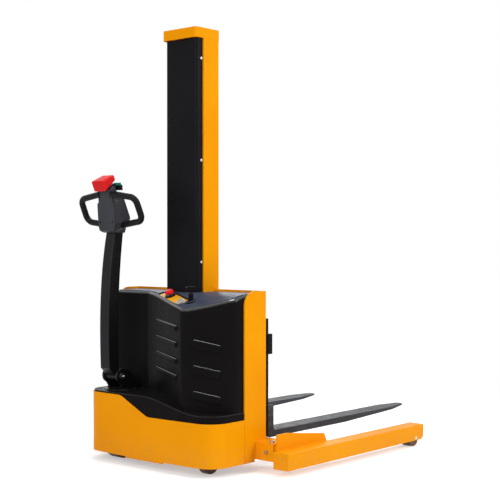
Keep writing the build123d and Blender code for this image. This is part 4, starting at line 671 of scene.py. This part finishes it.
def turned(mesh, place, axis, outline, steps=ROUND_STEPS):
    """Turned form about an axis, from pairs of radius and height."""
    spin = axis.to_track_quat("Z", "Y")
    rings = []
    for radius, height in outline:
        ring = []
        for step in range(steps if radius else 1):
            turn = 2 * math.pi * step / steps
            local = Vector((radius * math.cos(turn), radius * math.sin(turn), height))
            ring.append(mesh.verts.new(place + spin @ local))
        rings.append(ring)
    for near, far in zip(rings, rings[1:]):
        for step in range(steps):
            around = [near[step % len(near)], near[(step + 1) % steps % len(near)]]
            around += [far[(step + 1) % steps % len(far)], far[step % len(far)]]
            face = mesh.faces.new(list(dict.fromkeys(around)))
            face.smooth = steps == ROUND_STEPS


def disc(low, radius, high):
    """Outline of a turned plain disc."""
    return (0, low), (radius, low), (radius, high), (0, high)


def slab(mesh, place, right, upward, outline, low, high):
    """Flat form whose outline lies along right and upward, from one height to another."""
    outward = right.cross(upward)
    rings = []
    for height in (low, high):
        base = place + outward * height
        rings.append([mesh.verts.new(base + right * a + upward * b) for a, b in outline])
    mesh.faces.new(rings[0])
    mesh.faces.new(rings[1])
    wall(mesh, *rings)


# The gauge's dial lies in its dish: a pale disc with printed marks, a needle and a hub.
DIAL_RADIUS = 0.0145
DIAL_THICK = 0.0004
DIAL_SEAT = 0.00002
RAY_CLEAR = 0.1
MARK_REACH = (0.0098, 0.0126)
MARK_HALF = 0.00035
MARK_COUNT = 9
MARK_TURN = 30
FIRST_MARK = -120
NEEDLE_REACH = 0.0112
NEEDLE_TAIL = 0.003
NEEDLE_HALF = 0.0008
NEEDLE_TIP = 0.0002
NEEDLE_LEAN = 0.9
NEEDLE_HEIGHT = (0.0008, 0.0012)
HUB_RADIUS = 0.002
HUB_SIDE = 0.0014
HUB_TOP = 0.0017
gauge_low, gauge_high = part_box("battery_gauge")
gauge_middle = (gauge_low + gauge_high) / 2
dish, dial_out = strike("battery_gauge", gauge_middle + up * RAY_CLEAR, -up)
dial_up = (up - dial_out * up.dot(dial_out)).normalized()
dial_right = dial_up.cross(dial_out)
gauge_node = frame["nodes"]["battery_gauge"]
on_floor = []
for vertex in gauge_node.data.vertices:
    corner_place = gauge_node.matrix_world @ vertex.co
    if abs((corner_place - dish).dot(dial_out)) < DIAL_SEAT:
        on_floor.append(corner_place)
dial_middle = sum(on_floor, Vector()) / len(on_floor)
dial = bmesh.new()
turned(dial, dial_middle, dial_out, disc(0, DIAL_RADIUS, DIAL_THICK))
place_piece("gauge_dial", dial, gauge_plastic, "truck")

marks = bmesh.new()
print_low = DIAL_THICK * 0.5
print_high = DIAL_THICK * 1.5
near_end, far_end = MARK_REACH
mark = [(-MARK_HALF, near_end), (MARK_HALF, near_end), (MARK_HALF, far_end), (-MARK_HALF, far_end)]
for step in range(MARK_COUNT):
    turn = math.radians(MARK_TURN * step + FIRST_MARK)
    outward_line = dial_up * math.cos(turn) + dial_right * math.sin(turn)
    sideways = outward_line.cross(dial_out)
    slab(marks, dial_middle, sideways, outward_line, mark, print_low, print_high)
place_piece("gauge_marks", marks, black_plastic, "truck")

needle = bmesh.new()
needle_line = (dial_up + dial_right * NEEDLE_LEAN).normalized()
needle_side = needle_line.cross(dial_out)
needle_outline = [(-NEEDLE_HALF, -NEEDLE_TAIL), (NEEDLE_HALF, -NEEDLE_TAIL)]
needle_outline += [(NEEDLE_TIP, NEEDLE_REACH), (-NEEDLE_TIP, NEEDLE_REACH)]
slab(needle, dial_middle, needle_side, needle_line, needle_outline, *NEEDLE_HEIGHT)
hub_outline = ((0, print_low), (HUB_RADIUS, print_low), (HUB_RADIUS, HUB_SIDE), (0, HUB_TOP))
turned(needle, dial_middle, dial_out, hub_outline)
place_piece("gauge_needle", needle, red_plastic, "truck")


# Tiller: a welded steel bracket bolted to the drive unit's turntable, a headed pin with a grease
# nipple, and a bowed box arm that tilts on the pin. Bracket and arm are painted satin black.
TILLER_EDGE = 0.004
tiller_paint = Finish("tiller_paint", roughness=0.36, specular=0.14)
tiller_rub = tiller_paint.group(edge_rub, "Mask", Reach=0.002, Patches=24.0)
tiller_base = tiller_paint.tone(scale=5.0, one=colour(18, 18, 20), two=colour(25, 25, 28))
tiller_paint.wire("Base Color", tiller_paint.mix(tiller_rub, tiller_base, colour(84, 84, 86)))
tiller_paint.gloss(scale=40.0, low=0.28, high=0.42)
tiller_paint.fix("Coat Roughness", 0.2)
tiller_paint.wire("Coat Weight", tiller_paint.group(edge_round, "Mask", Radius=TILLER_EDGE))
tiller_normal = tiller_paint.group(edge_round, "Normal", Radius=TILLER_EDGE)
tiller_paint.grain(scale=500.0, depth=0.00006, normal=tiller_normal)
dress(tiller_paint, "tiller_bracket", "tiller_arm")
soften(0.0015, "tiller_bracket")
soften(0.001, "tiller_arm")
dress(zinc_steel, "tiller_pin")

HEX_SIDES = 6
BOLT_HEX = 0.0075
BOLT_HEAD = 0.0053
BOLT_CROWN = 0.001
BOLT_TAPER = 0.88
WASHER_RADIUS = 0.0088
WASHER_THICK = 0.0016
ABOVE_DECK = 0.6
BOLT_PLACES = ((0.025, 0.062), (0.025, -0.062), (-0.025, 0.062), (-0.025, -0.062))
head_top = WASHER_THICK + BOLT_HEAD
bolt_outline = ((0, WASHER_THICK), (BOLT_HEX, WASHER_THICK), (BOLT_HEX, head_top - BOLT_CROWN),
                (BOLT_HEX * BOLT_TAPER, head_top), (0, head_top))
bearing_low, bearing_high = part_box("steer_bearing")
steer_axis = (bearing_low + bearing_high) / 2
bolts = bmesh.new()
for along, aside in BOLT_PLACES:
    above = Vector((steer_axis.x + along, steer_axis.y + aside, ABOVE_DECK))
    seat = strike("tiller_bracket", above, -up)[0]
    turned(bolts, seat, up, disc(0, WASHER_RADIUS, WASHER_THICK))
    turned(bolts, seat, up, bolt_outline, steps=HEX_SIDES)
place_piece("turntable_bolts", bolts, black_paint, "drive_unit")

NIPPLE_OUTLINE = ((0, 0), (0.004, 0), (0.004, 0.003), (0.0024, 0.0042), (0.003, 0.0058),
                  (0.002, 0.0072), (0, 0.0074))
pin_low, pin_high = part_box("tiller_pin")
pin_middle = (pin_low + pin_high) / 2
pin_side = (pin_middle.x, pin_low.y - RAY_CLEAR, pin_middle.z)
pin_face, pin_out = strike("tiller_pin", pin_side, (0, 1, 0))
nipple = bmesh.new()
turned(nipple, pin_face, pin_out, NIPPLE_OUTLINE)
place_piece("grease_nipple", nipple, zinc_steel, "drive_unit")


# Tiller head: a dark grey moulded housing screwed together from behind, with two rubber-coated
# hand loops, the red reversing button across its end, thumb paddles and push buttons.
HEAD_EDGE = 0.005
head_plastic = Finish("head_plastic", roughness=0.42, specular=0.12)
head_plastic.tint(scale=9.0, one=colour(62, 63, 68), two=colour(53, 54, 59))
head_plastic.gloss(scale=70.0, low=0.36, high=0.5)
head_normal = head_plastic.group(edge_round, "Normal", Radius=HEAD_EDGE)
head_plastic.grain(scale=1200.0, depth=0.00008, normal=head_normal)
dress(head_plastic, "head_housing")

HEAD_LEAN = math.radians(24)
HEAD_FOOT_X = datum - 0.134
HEAD_FOOT_Z = 1.037
HEAD_CLEAR = 0.2
SCREW_PLACES = ((0.034, 0.174), (-0.034, 0.174), (0.040, 0.066), (-0.040, 0.066))
SCREW_OUTLINE = ((0, -0.002), (0.0046, -0.002), (0.0046, 0.0004), (0.0038, 0.0012), (0.002, 0.0012),
                 (0.002, -0.0008), (0, -0.0008))
head_up = Vector((-math.sin(HEAD_LEAN), 0, math.cos(HEAD_LEAN)))
head_front = Vector((math.cos(HEAD_LEAN), 0, math.sin(HEAD_LEAN)))
head_foot = Vector((HEAD_FOOT_X, steer_axis.y, HEAD_FOOT_Z))
screws = bmesh.new()
for aside, along in SCREW_PLACES:
    behind = head_foot + head_up * along + Vector((0, aside, 0)) - head_front * HEAD_CLEAR
    seat, seat_out = strike("head_housing", behind, head_front)
    turned(screws, seat, seat_out, SCREW_OUTLINE)
place_piece("head_screws", screws, black_paint, "tiller")

grip_rubber = Finish("grip_rubber", roughness=0.42, specular=0.1)
grip_rubber.tint(scale=12.0, one=colour(19, 19, 21), two=colour(26, 26, 29))
grip_rubber.gloss(scale=60.0, low=0.32, high=0.46)
grip_rubber.grain(scale=900.0, depth=0.00012)
dress(grip_rubber, "handle_loop_left", "handle_loop_right")
dress(red_plastic, "belly_button")

teal_plastic = Finish("teal_plastic", roughness=0.38, specular=0.4)
teal_plastic.tint(scale=25.0, one=colour(38, 128, 112), two=colour(30, 112, 98))
dress(teal_plastic, "lift_button", "lower_button", "horn_button")

# The paddle is moulded in two colours: black wings with a teal strip along their upper edge.
STRIP_SHARE = 0.62
STRIP_EDGE = 0.0005
paddle_low, paddle_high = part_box("thumb_paddle")
strip_from = paddle_low.z + (paddle_high.z - paddle_low.z) * STRIP_SHARE
paddle_plastic = Finish("paddle_plastic", roughness=0.38, specular=0.1)
paddle_height = upright(paddle_plastic.tree, own_place(paddle_plastic.tree))
strip = fit(paddle_plastic.tree, paddle_height, strip_from, strip_from + STRIP_EDGE)
paddle_plastic.wire("Base Color", paddle_plastic.mix(strip, colour(18, 18, 19), colour(36, 120, 106)))
paddle_plastic.gloss(scale=70.0, low=0.3, high=0.44)
dress(paddle_plastic, "thumb_paddle")


# Studio: a pale floor that keeps the truck's shadow and runs out to a white surround, and four
# soft lamps round and above the truck.
FLOOR_REACH = 30.0
FLOOR_GLOW = 0.45
SHADOW_REACH = (1.0, 2.4)
SURROUND_LIGHT = 0.28
FLOOR_GREY = (0.9, 0.9, 0.9, 1.0)
WHITE = (1.0, 1.0, 1.0, 1.0)
floor_data = bpy.data.meshes.new("studio_floor")
corners = [(-FLOOR_REACH, -FLOOR_REACH, 0), (FLOOR_REACH, -FLOOR_REACH, 0)]
corners += [(FLOOR_REACH, FLOOR_REACH, 0), (-FLOOR_REACH, FLOOR_REACH, 0)]
floor_data.from_pydata(corners, [], [(0, 1, 2, 3)])
floor = bpy.data.objects.new("studio_floor", floor_data)
bpy.context.scene.collection.objects.link(floor)


def seen_directly(tree):
    """1 for rays that show a surface to the eye: straight, mirrored or through glass."""
    path = put(tree, "ShaderNodeLightPath").outputs
    straight = combine(tree, "MAXIMUM", path["Is Camera Ray"], path["Is Glossy Ray"])
    return combine(tree, "MAXIMUM", straight, path["Is Transmission Ray"])


floor_white = bpy.data.materials.new("studio_floor")
floor_white.use_nodes = True
tree = floor_white.node_tree
tree.nodes.clear()
matt = put(tree, "ShaderNodeBsdfDiffuse", {"Color": FLOOR_GREY})
seen = seen_directly(tree)
glow = put(tree, "ShaderNodeEmission", {"Color": WHITE, "Strength": product(tree, seen, FLOOR_GLOW)})
both = put(tree, "ShaderNodeAddShader", {0: matt.outputs[0], 1: glow.outputs[0]})
reach = put(tree, "ShaderNodeVectorMath", {0: own_place(tree)}, operation="LENGTH").outputs["Value"]
away = product(tree, seen, fit(tree, reach, *SHADOW_REACH))
white = put(tree, "ShaderNodeEmission", {"Color": WHITE, "Strength": 1.0})
fading = put(tree, "ShaderNodeMixShader", {0: away, 1: both.outputs[0], 2: white.outputs[0]})
put(tree, "ShaderNodeOutputMaterial", {"Surface": fading.outputs[0]})
floor_data.materials.append(floor_white)

world = bpy.data.worlds.new("studio")
bpy.context.scene.world = world
world.use_nodes = True
tree = world.node_tree
tree.nodes.clear()
level = fit(tree, seen_directly(tree), 0.0, 1.0, SURROUND_LIGHT, 1.0)
surround = put(tree, "ShaderNodeBackground", {"Color": WHITE, "Strength": level})
put(tree, "ShaderNodeOutputWorld", {"Surface": surround.outputs[0]})


def soft_box(name, place, target, size, power, tint=(1.0, 1.0, 1.0)):
    """A square studio lamp that points at a target."""
    data = bpy.data.lights.new(name, "AREA")
    data.shape = "SQUARE"
    data.size = size
    data.energy = power
    data.color = tint
    lamp = bpy.data.objects.new(name, data)
    bpy.context.scene.collection.objects.link(lamp)
    lamp.location = place
    lamp.rotation_euler = (Vector(target) - Vector(place)).to_track_quat("-Z", "Y").to_euler()


COOL = (0.88, 0.94, 1.0)
soft_box("key_lamp", place=(1.0, -4.4, 3.0), target=(-0.3, 0.0, 0.8), size=2.4, power=136.0)
soft_box("fill_lamp", place=(-4.6, -0.6, 2.6), target=(-0.4, 0.0, 0.9), size=2.4, power=84.0)
soft_box("top_lamp", place=(-0.5, -0.2, 4.6), target=(-0.2, 0.0, 0.6), size=1.6, power=80.0, tint=COOL)
soft_box("back_lamp", place=(3.6, 3.4, 3.2), target=(0.2, 0.0, 0.7), size=2.4, power=70.0)


# Camera: at the height of a person's chest behind the truck's right corner, with a long lens.
# It looks almost level, along the heading that shows the rear and the right side.
CAMERA_PLACE = (datum - 3.6872, -3.6047, 1.005)
HEADING = math.radians(40.78)
DIP = math.radians(0.5)
LENS = 81.9
forward = Vector((math.cos(HEADING) * math.cos(DIP), math.sin(HEADING) * math.cos(DIP), -math.sin(DIP)))
camera_data = bpy.data.cameras.new("photo_camera")
camera_data.lens = LENS
camera = bpy.data.objects.new("photo_camera", camera_data)
bpy.context.scene.collection.objects.link(camera)
camera.location = CAMERA_PLACE
camera.rotation_euler = forward.to_track_quat("-Z", "Y").to_euler()
bpy.context.scene.camera = camera
bpy.context.scene.view_settings.view_transform = "Standard"
